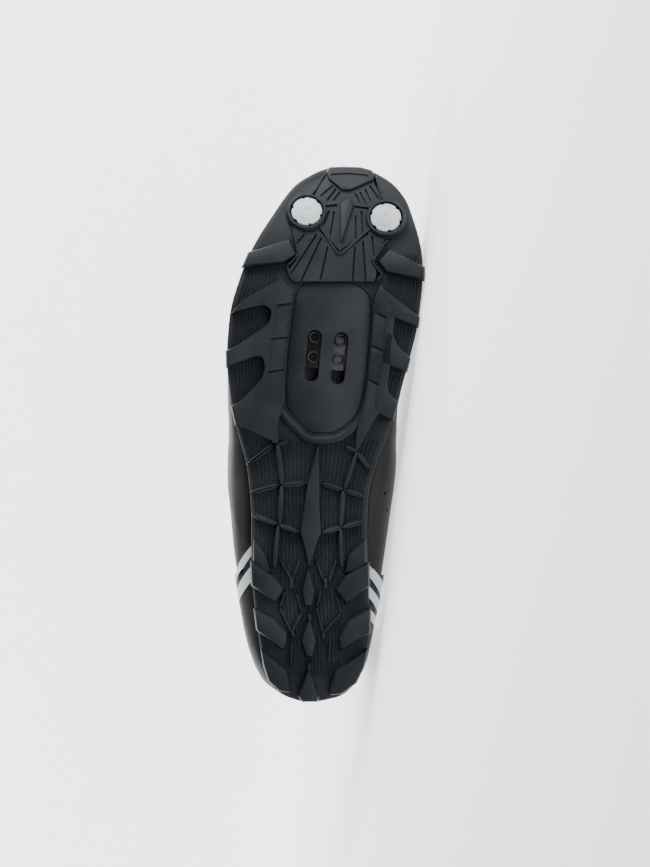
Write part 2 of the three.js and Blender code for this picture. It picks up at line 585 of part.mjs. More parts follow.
// The cleat window: front edge with round corners, straight sides and a pointed back
const windowRows = [
  [0.779, -0.2, 0.2], [0.775, -0.29, 0.27], [0.766, -0.335, 0.37], [0.754, -0.345, 0.44], [0.74, -0.345, 0.475],
  [0.7, -0.34, 0.505], [0.65, -0.338, 0.535], [0.6, -0.34, 0.57], [0.555, -0.345, 0.575], [0.545, -0.33, 0.56],
  [0.526, -0.225, 0.51], [0.508, -0.1, 0.38], [0.499, -0.01, 0.25],
];
function windowCorners(inset) {
  const shift = (t, s) => inset / halfOf(s) * t;
  const lateral = windowRows.map(([s, from]) => [s, from + shift(-1, s)]);
  const medial = windowRows.map(([s, , to]) => [s, to + shift(1, s)]).reverse();
  const ends = (list) => list.map(([s, t]) => [s + inset / soleLength * Math.sign(s - cleatAlong), t]);
  return ends([...lateral, ...medial]);
}

function makeOutsole() {
  const slab = ringSolid((rib) => {
    const low = ringShares.map((share) => share * rib.reach);
    const rim = rib.reach;
    const lip = [[rim - 0.3, floorOf(alongAt(rib, rim)) + 0.8], [rim, floorOf(alongAt(rib, rim)) + treadFloor * 0.6]];
    return [
      ...low.map((reach) => [reach, floorOf(alongAt(rib, reach))]),
      ...lip,
      ...[rim, ...low.reverse()].map((reach) => [reach, floorOf(alongAt(rib, reach)) + treadFloor]),
    ];
  });
  const root = (s) => floorOf(s) + treadFloor / 2;
  const panel = (s) => floorOf(s) - panelHeight;
  const pieces = [
    slab,
    ...[...foreLugs, ...heelLugs].map((corners) => prism(corners, tread, root, lugDraft)),
    ...heelRamps.map((corners) => prism(corners, (s) => mix(tread(s), floorOf(s), 0.45), root, lugDraft)),
    ...rails.map((rows) => ladder(rows, tread, root, lugDraft)),
    ladder(spineBar, tread, root, lugDraft / 2),
    ladder(fanRows, panel, root, lugDraft / 2),
    ...archRibs.map(([from, to, width]) => bar(from, to, width, tread, root)),
    ...windowRim(),
    ...spikeSeats.map((place) => spikeTool(place, spikeRadius + gap + spikeRing, 0, toeLug + treadFloor / 2)),
  ];
  const holes = [
    prism(windowCorners(0), () => -5, () => 40),
    ...spikeSeats.map((place) => spikeTool(place, spikeRadius + gap, -10, spikeThickness + gap)),
    ...spikeSeats.map((place) => spikeTool(place, spikeShank + gap, 0, spikeShankDepth + spikeThickness + gap)),
  ];
  return union(pieces).subtract(union(holes));
}
// The raised lip round the back of the cleat window
function windowRim() {
  const width = 4.6;
  const tail = windowRows.slice(8);
  const lateral = tail.map(([s, from]) => [s, from]);
  const medial = tail.map(([s, , to]) => [s, to]);
  const path = [...lateral, ...medial.reverse()];
  const low = (s) => floorOf(s) - panelHeight;
  const high = (s) => floorOf(s) + treadFloor / 2;
  return path.slice(1).map((to, i) => bar(path[i], to, 2 * width, low, high));
}
// The frame of a toe spike: on the tips of the lugs, square to the sole, with Z into it
function spikeFrame({ along, across }) {
  const slope = Math.atan((tread(along + 0.01) - tread(along - 0.01)) / (0.02 * soleLength));
  const [x, y] = spot([along, across]);
  return new THREE.Matrix4().makeTranslation(x, y, tread(along)).multiply(new THREE.Matrix4().makeRotationX(slope));
}
function spikeTool(place, radius, from, to) {
  const tool = new THREE.CylinderGeometry(radius, radius, to - from, 24).rotateX(Math.PI / 2);
  tool.translate(0, 0, (from + to) / 2);
  return placed(tool, spikeFrame(place));
}
// The cap lies flat, with its face down and its shank up, and its mesh is then set in the sole
function spikeCap() {
  const disc = (radius, from, to, sides) => {
    const tool = new THREE.CylinderGeometry(radius, radius, to - from, sides).rotateX(Math.PI / 2);
    return tool.translate(0, 0, (from + to) / 2);
  };
  const crown = 0.6;
  const profile = [[0, 0], [spikeRadius * 0.7, 0], [spikeRadius, crown], [spikeRadius, spikeThickness],
    [0, spikeThickness]].map(([r, z]) => new THREE.Vector2(r, z));
  const head = solidOf(new THREE.LatheGeometry(profile, 24).rotateX(Math.PI / 2));
  const shank = solidOf(disc(spikeShank, spikeThickness / 2, spikeThickness + spikeShankDepth, 12));
  const notches = Array.from({ length: spikeNotches }, (_, i) => {
    const angle = 2 * Math.PI * (i + 0.3) / spikeNotches;
    const notch = disc(spikeNotch, -1, spikeThickness + 1, 8);
    return solidOf(notch.translate(spikeRadius * Math.cos(angle), spikeRadius * Math.sin(angle), 0));
  });
  return head.add(shank).subtract(union(notches));
}

function makeInsole() {
  const rise = gap + wall + gap;
  const inset = wall + insoleClearance;
  return ringSolid((rib) => {
    const edge = featherOf(rib) - inset;
    const z = (reach) => seat(alongAt(rib, reach)) + rise;
    const rings = [0, 0.5].map((share) => share * edge);
    return [
      ...rings.map((reach) => [reach, z(reach)]),
      [edge, z(edge)], [edge, z(edge) + insoleThickness * 0.8], [edge - 1.5, z(edge) + insoleThickness],
      ...rings.reverse().map((reach) => [reach, z(reach) + insoleThickness]),
    ];
  });
}

const tongueFront = 0.66;
const tongueBack = 0.365;
function makeTongue() {
  const inset = (more) => form((rib, turn) => -collarInset(rib, turn) - gap - more);
  const half = (s) => mix(1, 0.8, (s - tongueBack) / (tongueFront - tongueBack)) * tongueWidth / 2;
  return inset(0).subtract(inset(tongueThickness)).intersect(planView(tongueBack, tongueFront, half, 0.5));
}
// A layer on the upper, inside a side view
const layer = (thickness, view) => form(gap + thickness).subtract(form(gap)).intersect(view);
// Straps: place of the middle, and heights of the two ends as shares of ridgeHeight
const strapRows = [
  { name: 'strap_front', along: 0.66, lean: 0.01, medial: 0.49, lateral: 0.32 },
  { name: 'strap_middle', along: 0.565, lean: 0.015, medial: 0.575, lateral: 0.38 },
  { name: 'strap_top', along: 0.465, lean: 0.02, medial: 0.68, lateral: 0.46 },
];
function makeStrap({ along, lean, medial, lateral }) {
  const half = strapWidth / 2 / soleLength;
  const top = 1.2 * ridgeHeight;
  const end = (low, nose) => [
    [along + half + lean, top], [along - half + lean, top], [along - half, low + nose],
    [along - half * 0.7, low + nose * 0.3], [along, low], [along + half * 0.7, low + nose * 0.3],
    [along + half, low + nose],
  ];
  const ridge = -centreOf(along) * ballWidth;
  const inner = sideView(end(medial * ridgeHeight, strapNose / 6), -ballWidth, ridge + wall / 2);
  const view = inner.add(sideView(end(lateral * ridgeHeight, strapNose), ridge - wall / 2));
  return layer(strapThickness, view);
}
// Top lines of the toe cap, as a share of ridgeHeight, and of the heel counter, as a share of collarHeight
const toeCapRows = [
  { along: 0.815, height: 0.237 },
  { along: 0.85, height: 0.356 },
  { along: 0.9, height: 0.44 },
  { along: 0.95, height: 0.475 },
  { along: 1.05, height: 0.475 },
];
const heelCounterRows = [
  { along: 0.225, height: 0.43 },
  { along: 0.18, height: 0.59 },
  { along: 0.11, height: 0.705 },
  { along: 0.05, height: 0.807 },
  { along: -0.08, height: 0.84 },
];
function makeToeCap() {
  const low = (s) => [s, seat(Math.min(s, 1)) + 1.5 * overlayThickness];
  const line = toeCapRows.map(({ along, height }) => [along, height * ridgeHeight]);
  return layer(overlayThickness, sideView([low(0.79), ...line, low(1.05)]));
}
function makeHeelCounter() {
  const low = (s) => [s, seat(Math.max(s, 0)) + overlayThickness];
  const line = heelCounterRows.map(({ along, height }) => [along, height * collarHeight]);
  return layer(overlayThickness, sideView([[-0.08, low(0)[1]], ...[0, 0.03, 0.07, 0.15, 0.24].map(low), ...line]));
}

// Materials
const finish = (color, roughness, metalness = 0) => new THREE.MeshStandardMaterial({ color, roughness, metalness });
const rubber = finish(0x1b1d20, 0.62);
const nylon = finish(0x202329, 0.48);
const leather = finish(0x1c1d20, 0.5);
const fabric = finish(0x151517, 0.9);
const webbing = finish(0x17181a, 0.75);
const steel = finish(0x3a3c3e, 0.35, 1);
const silverPlastic = finish(0xc9cdd0, 0.4);
const foam = finish(0x2a2b2e, 0.95);

const shoe = new THREE.Group();
function add(name, solid, material, matrix) {
  const mesh = new THREE.Mesh(geometryOf(solid), material);
  mesh.name = name;
  if (matrix) matrix.decompose(mesh.position, mesh.quaternion, mesh.scale);
  mesh.updateMatrix();
  shoe.add(mesh);
}
add('outsole', makeOutsole(), rubber);
add('midsole', makeMidsole(), nylon);
add('nut_plate', makeNutPlate(), steel);
for (const place of spikeSeats) {
  const sunk = new THREE.Matrix4().makeTranslation(0, 0, gap / 2);
  add(place.name, spikeCap(), silverPlastic, spikeFrame(place).multiply(sunk));
}
add('upper', makeUpper(), leather);
add('toe_cap', makeToeCap(), rubber);
add('heel_counter', makeHeelCounter(), rubber);
add('tongue', makeTongue(), fabric);
add('insole', makeInsole(), foam);
for (const row of strapRows) add(row.name, makeStrap(row), webbing);

// The shoe comes to rest on the face of its hull, on the medial side, that lies under its centre of mass.
// Its pieces are taken as equally dense.
function centreOfMass() {
  const sum = new THREE.Vector3();
  let total = 0;
  for (const mesh of shoe.children) {
    const spots = mesh.geometry.attributes.position;
    const index = mesh.geometry.index.array;
    const corner = (k) => new THREE.Vector3().fromBufferAttribute(spots, k).applyMatrix4(mesh.matrix);
    for (let i = 0; i < index.length; i += 3) {
      const [a, b, c] = [corner(index[i]), corner(index[i + 1]), corner(index[i + 2])];
      const volume = a.dot(b.clone().cross(c));
      sum.addScaledVector(a.add(b).add(c), volume / 4);
      total += volume;
    }
  }
  return sum.divideScalar(total);
}
function restingNormal() {
  const centre = centreOfMass();
  const points = shoe.children.flatMap((mesh) => {
    const spots = mesh.geometry.attributes.position;
    return Array.from({ length: spots.count }, (_, i) => (
      new THREE.Vector3().fromBufferAttribute(spots, i).applyMatrix4(mesh.matrix)));
  });
  // How far inside the face's edges the centre of mass falls
  const margin = (face) => {
    const drop = centre.clone().addScaledVector(face.normal, face.constant - face.normal.dot(centre));
    let edge = face.edge;
    let least = Infinity;
    for (let k = 0; k < 3; k++) {
      const [tail, head] = [edge.tail().point, edge.head().point];
      const side = head.clone().sub(tail);
      least = Math.min(least, side.clone().cross(drop.clone().sub(tail)).dot(face.normal) / side.length());
      edge = edge.next;
    }
    return least;
  };
  const faces = new ConvexHull().setFromPoints(points).faces.filter((face) => face.normal.x < -0.9);
  return faces.reduce((best, face) => (margin(face) > margin(best) ? face : best)).normal;
}
const down = restingNormal();
const lay = new THREE.Quaternion().setFromUnitVectors(down, new THREE.Vector3(0, 0, -1));
const toe = new THREE.Vector3(0, 1, 0).applyQuaternion(lay);
const yaw = new THREE.Quaternion().setFromAxisAngle(new THREE.Vector3(0, 0, 1), -Math.atan2(toe.y, toe.x));
shoe.quaternion.copy(yaw.multiply(lay));
shoe.updateMatrixWorld(true);
const box = new THREE.Box3().setFromObject(shoe, true);
shoe.position.set(-(box.min.x + box.max.x) / 2, -(box.min.y + box.max.y) / 2, -box.min.z);

const lying = new THREE.Group();
lying.add(shoe);
export default lying;
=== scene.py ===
import math

import bpy
from mathutils import Matrix, Vector
from mathutils.bvhtree import BVHTree


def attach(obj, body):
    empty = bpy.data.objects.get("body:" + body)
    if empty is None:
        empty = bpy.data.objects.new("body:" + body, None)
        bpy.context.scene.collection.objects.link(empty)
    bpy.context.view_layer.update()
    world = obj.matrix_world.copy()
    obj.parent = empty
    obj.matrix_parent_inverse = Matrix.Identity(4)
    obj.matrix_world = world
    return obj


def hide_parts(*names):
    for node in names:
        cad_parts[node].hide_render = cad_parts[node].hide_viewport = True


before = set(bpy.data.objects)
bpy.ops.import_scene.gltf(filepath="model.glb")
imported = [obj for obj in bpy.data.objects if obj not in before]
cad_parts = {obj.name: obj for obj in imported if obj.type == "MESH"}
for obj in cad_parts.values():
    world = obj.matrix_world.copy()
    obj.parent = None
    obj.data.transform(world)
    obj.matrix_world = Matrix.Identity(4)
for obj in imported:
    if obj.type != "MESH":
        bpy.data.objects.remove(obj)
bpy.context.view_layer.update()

mm = 0.001

# How the shoe lies
# It rests on its medial side. Every piece is made as the shoe stands, toe along +Y, lateral side along +X and
# ground at Z 0, and its mesh is then laid down by this turn and shift.
nose_up = math.radians(6.89085)
lean = math.radians(3.59118)
toe_way = Vector((math.cos(nose_up), 0, math.sin(nose_up)))
shoe_up = Vector((math.sin(lean) * math.sin(nose_up), math.cos(lean), -math.sin(lean) * math.cos(nose_up)))
lateral_way = toe_way.cross(shoe_up)
laid = Matrix((lateral_way, toe_way, shoe_up)).transposed().to_4x4()
laid.translation = Vector((-142.1705, -52.5803, 34.3537)) * mm

# The photographer's view
# The camera looks square at the sole with the toe at the top of the picture, so it is rolled a quarter turn.
sole_middle = laid @ (Vector((-8.6, 142, 5)) * mm)
distance = 1.25
eye = bpy.data.cameras.new("photo_camera")
eye.sensor_width = 36
eye.lens = 36 * distance / 0.4567
photo_camera = bpy.data.objects.new("photo_camera", eye)
bpy.context.collection.objects.link(photo_camera)
facing = Matrix((-lateral_way, toe_way, -shoe_up)).transposed().to_4x4()
facing.translation = sole_middle - shoe_up * distance
photo_camera.matrix_world = facing
bpy.context.scene.camera = photo_camera

# The pale floor and the soft light
# One sheet of pale paper lies under the shoe and sweeps up behind it, and glows a little. The main light is
# large and comes from the toe's side, above the shoe; a wide weak one fills in from the heel's side.


def deselect():
    bpy.ops.object.select_all(action="DESELECT")


deselect()
bpy.ops.mesh.primitive_grid_add(x_subdivisions=2, y_subdivisions=48, size=2)
floor = bpy.context.object
floor.name = "studio_floor"
half_paper, half_paper_width = 3, 4
flat_end, bend = 0.7, 0.5
for vertex in floor.data.vertices:
    way = vertex.co.y * half_paper
    turn = min(max(way - flat_end, 0) / bend, math.pi / 2)
    rise = max(way - flat_end - bend * math.pi / 2, 0)
    vertex.co = (vertex.co.x * half_paper_width, min(way, flat_end) + bend * math.sin(turn),
                 bend * (1 - math.cos(turn)) + rise)
paper = bpy.data.materials.new("floor_paper")
paper.use_nodes = True
paper_shader = paper.node_tree.nodes["Principled BSDF"]
paper_shader.inputs["Base Color"].default_value = (0.88, 0.88, 0.88, 1)
paper_shader.inputs["Roughness"].default_value = 0.85
paper_shader.inputs["Emission Color"].default_value = (1, 1, 1, 1)
paper_shader.inputs["Emission Strength"].default_value = 1.0
floor.data.materials.append(paper)
bpy.ops.object.shade_smooth()


def soft_light(name, place, size, watts, target=sole_middle):
    lamp = bpy.data.lights.new(name, "AREA")
    lamp.shape = "RECTANGLE"
    lamp.size, lamp.size_y = size
    lamp.energy = watts
    holder = bpy.data.objects.new(name, lamp)
    bpy.context.collection.objects.link(holder)
    holder.location = place
    holder.rotation_euler = (target - Vector(place)).to_track_quat("-Z", "Y").to_euler()


soft_light("toe_light", (1.05, -0.5, 0.5), (0.8, 0.6), 27)
soft_light("top_light", (0.1, -0.5, 1.3), (1.2, 0.5), 7)
soft_light("fill_light", (-0.9, -1.3, 0.7), (1, 1), 0.7)
paper_behind = Vector((0, 1.4, 0.2))
soft_light("paper_left", (-0.9, 0.35, 0.9), (0.8, 0.8), 22, paper_behind)
soft_light("paper_right", (1.1, 0.35, 0.9), (0.8, 0.8), 22, paper_behind)
sky = bpy.data.worlds.new("studio")
sky.use_nodes = True
sky.node_tree.nodes["Background"].inputs["Color"].default_value = (0.95, 0.97, 1.0, 1)
sky.node_tree.nodes["Background"].inputs["Strength"].default_value = 0.08
bpy.context.scene.world = sky

# Outsole
# One moulding of hard bluish black rubber, pressed on to the sole body: a thin floor with lugs, low ribs
# under the arch, and a window round the cleat. Its outline follows the last.
sole_length = 285 * mm
ball_width = 99.8 * mm
waist_width = 61.4 * mm
heel_width = 61.2 * mm
outline_rows = [  # place along, centre towards medial as a share of the ball's width, share of half the width
    (0, 0.007, 0.155, heel_width), (0.008, 0.02, 0.42, heel_width), (0.018, 0.02, 0.585, heel_width),
    (0.037, 0.02, 0.745, heel_width), (0.066, 0.026, 0.86, heel_width), (0.104, 0.028, 0.93, heel_width),
    (0.15, 0.023, 0.975, heel_width), (0.216, 0.01, 1, heel_width), (0.288, 0.003, 0.997, waist_width),
    (0.346, 0.003, 1, waist_width), (0.392, 0.004, 1.03, waist_width), (0.442, 0.015, 1.125, waist_width),
    (0.479, 0.02, 0.755, ball_width), (0.501, 0.024, 0.8, ball_width), (0.545, 0.028, 0.866, ball_width),
    (0.584, 0.036, 0.914, ball_width), (0.634, 0.049, 0.966, ball_width), (0.69, 0.073, 0.998, ball_width),
    (0.734, 0.09, 1, ball_width), (0.778, 0.115, 0.976, ball_width), (0.823, 0.139, 0.93, ball_width),
    (0.867, 0.16, 0.844, ball_width), (0.911, 0.181, 0.727, ball_width), (0.934, 0.19, 0.66, ball_width),
    (0.956, 0.192, 0.57, ball_width), (0.97, 0.193, 0.49, ball_width), (0.982, 0.194, 0.385, ball_width),
    (0.993, 0.195, 0.265, ball_width), (1, 0.195, 0.135, ball_width),
]


def curve_through(rows, pick):
    """A smooth curve through one column of a table, read at a share of the length."""
    places = [row[0] for row in rows]
    values = [pick(row) for row in rows]
    last = len(rows) - 1

    def slope(i):
        a, b = max(i - 1, 0), min(i + 1, last)
        return (values[b] - values[a]) / (places[b] - places[a])

    def read(s):
        s = min(max(s, places[0]), places[last])
        i = min(max(sum(place <= s for place in places) - 1, 0), last - 1)
        step = places[i + 1] - places[i]
        t = (s - places[i]) / step
        return (values[i] * (2 * t ** 3 - 3 * t ** 2 + 1) + values[i + 1] * (3 * t ** 2 - 2 * t ** 3)
                + slope(i) * step * (t ** 3 - 2 * t ** 2 + t) + slope(i + 1) * step * (t ** 3 - t ** 2))
    return read


def ease(s, start, end):
    t = min(max((s - start) / (end - start), 0), 1)
    return t * t * (3 - 2 * t)


def blend(a, b, share):
    return a + (b - a) * share


centre_of = curve_through(outline_rows, lambda row: row[1] * ball_width)
half_of = curve_through(outline_rows, lambda row: row[2] * row[3] / 2)


def toe_rise(s):
    return 22 * mm * max(0, (s - 0.72) / 0.28) ** 2


def end_rise(s):
    return toe_rise(s) + 4.5 * mm * max(0, (0.07 - s) / 0.07) ** 2


def arch(s):
    return ease(s, 0.27, 0.36) * (1 - ease(s, 0.46, 0.55))


def tread(s):
    return end_rise(s) + 4 * mm * arch(s)


def floor_of(s):
    depth = blend(blend(6, 5.5, ease(s, 0.27, 0.55)), 4.2, ease(s, 0.8, 1))
    return end_rise(s) + (1.4 * arch(s) + depth) * mm


def seat(s):
    return end_rise(s) + blend(24.5, 13.2, ease(s, 0.16, 0.64)) * mm


class Rib:
    """A vertical plane from the spine under the last's ridge to the sole's edge; ribs fan at heel and toe."""

    def __init__(self, s, side):
        self.s, self.side = s, side
        self.spine_s = blend(0.12, 0.86, s)
        self.spine = Vector((-centre_of(self.spine_s), self.spine_s * sole_length))
        way = Vector((-centre_of(s) + side * half_of(s), s * sole_length)) - self.spine
        self.reach = way.length
        self.way = way.normalized()

    def at(self, reach, z):
        return Vector((self.spine.x + self.way.x * reach, self.spine.y + self.way.y * reach, z))

    def along(self, reach):
        return (self.spine.y + self.way.y * reach) / sole_length


def all_ribs(per_side):
    """Ribs all round: lateral ones from heel to toe, then medial ones back."""
    ribs = []
    for turn in range(2 * per_side + 1):
        k = turn if turn <= per_side else 2 * per_side - turn
        side = 0 if k in (0, per_side) else (1 if turn < per_side else -1)
        ribs.append(Rib((1 - math.cos(math.pi * k / per_side)) / 2, side))
    return ribs


def take(piece):
    """Makes one piece the only one selected, and the active one."""
    deselect()
    piece.select_set(True)
    bpy.context.view_layer.objects.active = piece


def in_edit(piece, work):
    """Runs mesh operators on the whole of one piece."""
    take(piece)
    bpy.ops.object.mode_set(mode="EDIT")
    bpy.ops.mesh.select_all(action="SELECT")
    work()
    bpy.ops.object.mode_set(mode="OBJECT")


def weld(piece):
    """Merges corners that meet and turns all faces outwards."""
    def work():
        bpy.ops.mesh.remove_doubles(threshold=0.00001)
        bpy.ops.mesh.normals_make_consistent(inside=False)
    in_edit(piece, work)


def modify(piece, kind, **values):
    """Adds one modifier and applies it."""
    take(piece)
    tool = piece.modifiers.new(kind.title(), kind)
    for key, value in values.items():
        setattr(tool, key, value)
    bpy.ops.object.modifier_apply(modifier=tool.name)


def round_edges(piece, width, segments=2, angle=28):
    """Rounds the edges that are sharper than an angle."""
    modify(piece, "BEVEL", width=width, segments=segments, limit_method="ANGLE",
           angle_limit=math.radians(angle))


def joined(pieces, name):
    """Joins pieces into one mesh."""
    take(pieces[0])
    for piece in pieces:
        piece.select_set(True)
    bpy.ops.object.join()
    whole = bpy.context.object
    whole.name = name
    return whole


def settle(piece, material, angle=35, replaces=()):
    """Lays a finished piece down, gives it its material and puts it on the shoe."""
    piece.data.transform(laid)
    piece.data.materials.clear()
    piece.data.materials.append(material)
    take(piece)
    bpy.ops.object.shade_smooth_by_angle(angle=math.radians(angle))
    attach(piece, "root")
    if replaces:
        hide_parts(*replaces)
    return piece


def shaped_grid(name, rows, columns, place):
    """A grid of quads, each corner set at its place."""
    deselect()
    bpy.ops.mesh.primitive_grid_add(x_subdivisions=rows, y_subdivisions=columns, size=2)
    piece = bpy.context.object
    piece.name = piece.data.name = name
    for vertex in piece.data.vertices:
        row = round((vertex.co.x + 1) / 2 * rows)
        column = round((vertex.co.y + 1) / 2 * columns)
        vertex.co = place(row, column)
    return piece


def round_form(name, per_side, profile):
    """A closed form from one profile of (reach, height) for each rib."""
    ribs = all_ribs(per_side)
    profiles = [profile(rib) for rib in ribs]
    piece = shaped_grid(name, 2 * per_side, len(profiles[0]) - 1,
                        lambda row, column: ribs[row].at(*profiles[row][column]))
    weld(piece)
    return piece


def spot(s, t):
    """A place on the tread, t from -1 at the lateral edge to 1 at the medial edge."""
    held = min(max(s, 0.104), 0.934)
    return Vector((-centre_of(held) - t * half_of(held), s * sole_length))


def moved_in(points, distance):
    """A plan outline moved inwards, square to its edges."""
    area = sum(a.x * b.y - b.x * a.y for a, b in zip(points, points[1:] + points[:1]))
    sign = 1 if area > 0 else -1
    moved = []
    for i, point in enumerate(points):
        a = (point - points[i - 1]).normalized()
        b = (points[(i + 1) % len(points)] - point).normalized()
        inward = Vector((-a.y - b.y, a.x + b.x)) * sign
        moved.append(point + inward * (distance / max(0.5, 1 + a.dot(b))))
    return moved


def moulded_block(plan, tip, root, draft=1.1 * mm, edge=0.45 * mm):
    """A lug: its plan at the root, drawn in by the draft up to its tip, with rounded edges."""
    deselect()
    bpy.ops.mesh.primitive_circle_add(vertices=len(plan), radius=0.01, fill_type="NGON")
    block = bpy.context.object
    for vertex, point in zip(block.data.vertices, plan):
        vertex.co = (point.x, point.y, root(point.y / sole_length))
    top = moved_in(plan, draft) if draft else plan
    in_edit(block, bpy.ops.mesh.extrude_region_move)
    for vertex, point in zip(block.data.vertices[len(plan):], top):
        vertex.co = (point.x, point.y, tip(point.y / sole_length))
    weld(block)
    if edge:
        round_edges(block, edge)
    return block


def moulded_bar(rows, tip, root, draft=0.8 * mm, edge=0.35 * mm):
    """A long bar from rows of place along, lateral edge and medial edge."""
    def place(row, column):
        s, lateral, medial = rows[row]
        a, b = spot(s, lateral), spot(s, medial)
        inset = min(draft, (a - b).length * 0.35)
        across = (b - a).normalized()
        point = [a, a + across * inset, b - across * inset, b, a][column]
        return Vector((point.x, point.y, (root if column in (0, 3, 4) else tip)(s)))
    bar = shaped_grid("bar", len(rows) - 1, 4, place)
    weld(bar)

    def close():
        bpy.ops.mesh.select_all(action="DESELECT")
        bpy.ops.mesh.select_non_manifold()
        bpy.ops.mesh.fill_holes(sides=0)
        bpy.ops.mesh.select_all(action="SELECT")
        bpy.ops.mesh.normals_make_consistent(inside=False)
    in_edit(bar, close)
    if edge:
        round_edges(bar, edge)
    return bar


def rib_bar(start, end, width, tip, root, taper=0.0, edge=0.3 * mm):
    """A thin rib between two places on the tread; the taper is how much narrower its ends are."""
    a, b = spot(*start), spot(*end)
    across = Vector((a.y - b.y, b.x - a.x)).normalized() * width / 2
    near, far = a.lerp(b, 0.25), a.lerp(b, 0.75)
    narrow = across * (1 - taper)
    plan = [a + narrow, near + across, far + across, b + narrow,
            b - narrow, far - across, near - across, a - narrow]
    return moulded_block(plan, tip, root, width * 0.22, edge)


def root_of(s):
    return floor_of(s) + 1 * mm


def panel_of(s):
    return floor_of(s) - 2.6 * mm


def ramp_top(s):
    return blend(tread(s), floor_of(s), 0.45)


rim_share = 1.014
# The forefoot's lateral side is one frame, rail and outer lugs together, with two open recesses; the medial
# side is a rail with separate lugs
lateral_frame = [
    (0.786, -0.55), (0.763, -0.36), (0.74, -0.348), (0.7, -0.343), (0.65, -0.341), (0.6, -0.343),
    (0.555, -0.35),
    (0.515, -0.44), (0.478, -0.46), (0.478, -0.57), (0.53, -0.64), (0.541, -0.69), (0.511, -rim_share),
    (0.545, -rim_share), (0.58, -rim_share), (0.617, -rim_share), (0.65, -rim_share), (0.69, -rim_share),
    (0.713, -rim_share), (0.745, -0.9),
]
medial_rail = [
    (0.771, 0.54, 0.56), (0.748, 0.485, 0.64), (0.71, 0.505, 0.76), (0.67, 0.53, 0.77), (0.615, 0.567, 0.82),
    (0.57, 0.585, 0.85), (0.545, 0.58, 0.84), (0.5, 0.555, 0.73), (0.467, 0.6, 0.68),
]
medial_lugs = [
    [(0.771, 0.55), (0.724, 0.93), (0.714, rim_share), (0.692, rim_share), (0.708, 0.765), (0.712, 0.6)],
    [(0.69, 0.66), (0.683, 0.755), (0.66, 0.85), (0.637, rim_share), (0.61, rim_share), (0.62, 0.82),
     (0.625, 0.68)],
    [(0.606, 0.7), (0.602, 0.81), (0.575, 0.87), (0.555, rim_share), (0.52, rim_share), (0.533, 0.79),
     (0.56, 0.7)],
]
lateral_recesses = [
    [(0.712, -1.12), (0.733, -0.65), (0.724, -0.575), (0.703, -0.585), (0.678, -0.778), (0.657, -0.938),
     (0.648, -1.12)],
    [(0.612, -1.12), (0.641, -0.62), (0.618, -0.589), (0.599, -0.636), (0.556, -0.917), (0.545, -1.12)],
]
# Each rail has a shallow inset panel, with narrow cuts across it
lateral_inset = [
    (0.735, -0.504), (0.7365, -0.375), (0.65, -0.365), (0.557, -0.39), (0.559, -0.55), (0.64, -0.53),
]
medial_inset = [(0.722, 0.53), (0.711, 0.655), (0.64, 0.7), (0.54, 0.765), (0.54, 0.615), (0.65, 0.56)]
rail_cuts = [
    ((0.7335, -0.51), (0.7375, -0.36)), ((0.672, -0.53), (0.675, -0.36)), ((0.611, -0.545), (0.6155, -0.375)),
    ((0.723, 0.52), (0.711, 0.655)), ((0.66, 0.55), (0.6506, 0.69)), ((0.5987, 0.585), (0.5865, 0.735)),
]
fore_lugs = [
    [(0.859, -0.6), (0.829, -0.45), (0.814, -0.56), (0.806, -rim_share), (0.834, -rim_share)],
    [(0.84, 0.62), (0.8165, 0.49), (0.796, 0.59), (0.781, rim_share), (0.806, rim_share)],
    [(0.998, -0.24), (0.999, -0.03), (0.998, 0.26), (0.992, 0.44), (0.981, 0.5), (0.971, 0.48), (0.951, 0.1),
     (0.951, -0.05), (0.974, -0.27), (0.988, -0.3)],
]
toe_inset = [
    (0.984, -0.23), (0.986, 0.07), (0.982, 0.38), (0.972, 0.4), (0.9575, 0.07), (0.962, -0.06), (0.973, -0.21),
]
kite = [(0.944, 0.062), (0.924, 0.187), (0.849, 0.04), (0.925, -0.096)]
heel_lugs = [
    [(0.262, -rim_share), (0.235, -0.61), (0.2115, -0.45), (0.186, -0.63), (0.2175, -rim_share)],
    [(0.174, -rim_share), (0.157, -0.675), (0.13, -0.46), (0.112, -0.49), (0.098, -0.57),
     (0.135, -rim_share)],
    [(0.098, -0.98), (0.062, -0.49), (0.04, -0.45), (0.018, -0.44), (0.022, -0.64), (0.041, -0.84),
     (0.068, -0.93)],
    [(0.259, rim_share), (0.237, 0.615), (0.209, 0.43), (0.1835, 0.6), (0.2175, rim_share)],
    [(0.176, rim_share), (0.154, 0.63), (0.122, 0.45), (0.098, 0.48), (0.13, rim_share)],
    [(0.1, 0.99), (0.06, 0.4), (0.03, 0.294), (0.014, 0.3), (0.016, 0.5), (0.037, 0.78), (0.066, 0.92)],
    [(0.252, -0.02), (0.21, -0.155), (0.18, -0.13), (0.18, 0.015), (0.21, 0.08)],
    [(0.159, -0.055), (0.115, -0.235), (0.086, -0.15), (0.086, -0.02), (0.115, 0.055)],
    [(0.066, -0.09), (0.011, -0.29), (0.001, -0.22), (0.001, 0.06), (0.012, 0.1)],
]
heel_ramps = [
    [(0.306, -0.97), (0.274, -0.725), (0.237, -0.62), (0.245, -0.99)],
    [(0.306, 0.98), (0.274, 0.64), (0.237, 0.56), (0.245, 0.98)],
]
spine_bar = [
    (0.475, 0.06, 0.1), (0.44, 0, 0.135), (0.403, -0.06, 0.18), (0.36, -0.11, 0.2), (0.316, -0.17, 0.23),
    (0.306, -0.14, 0.19), (0.258, -0.02, 0.01),
]
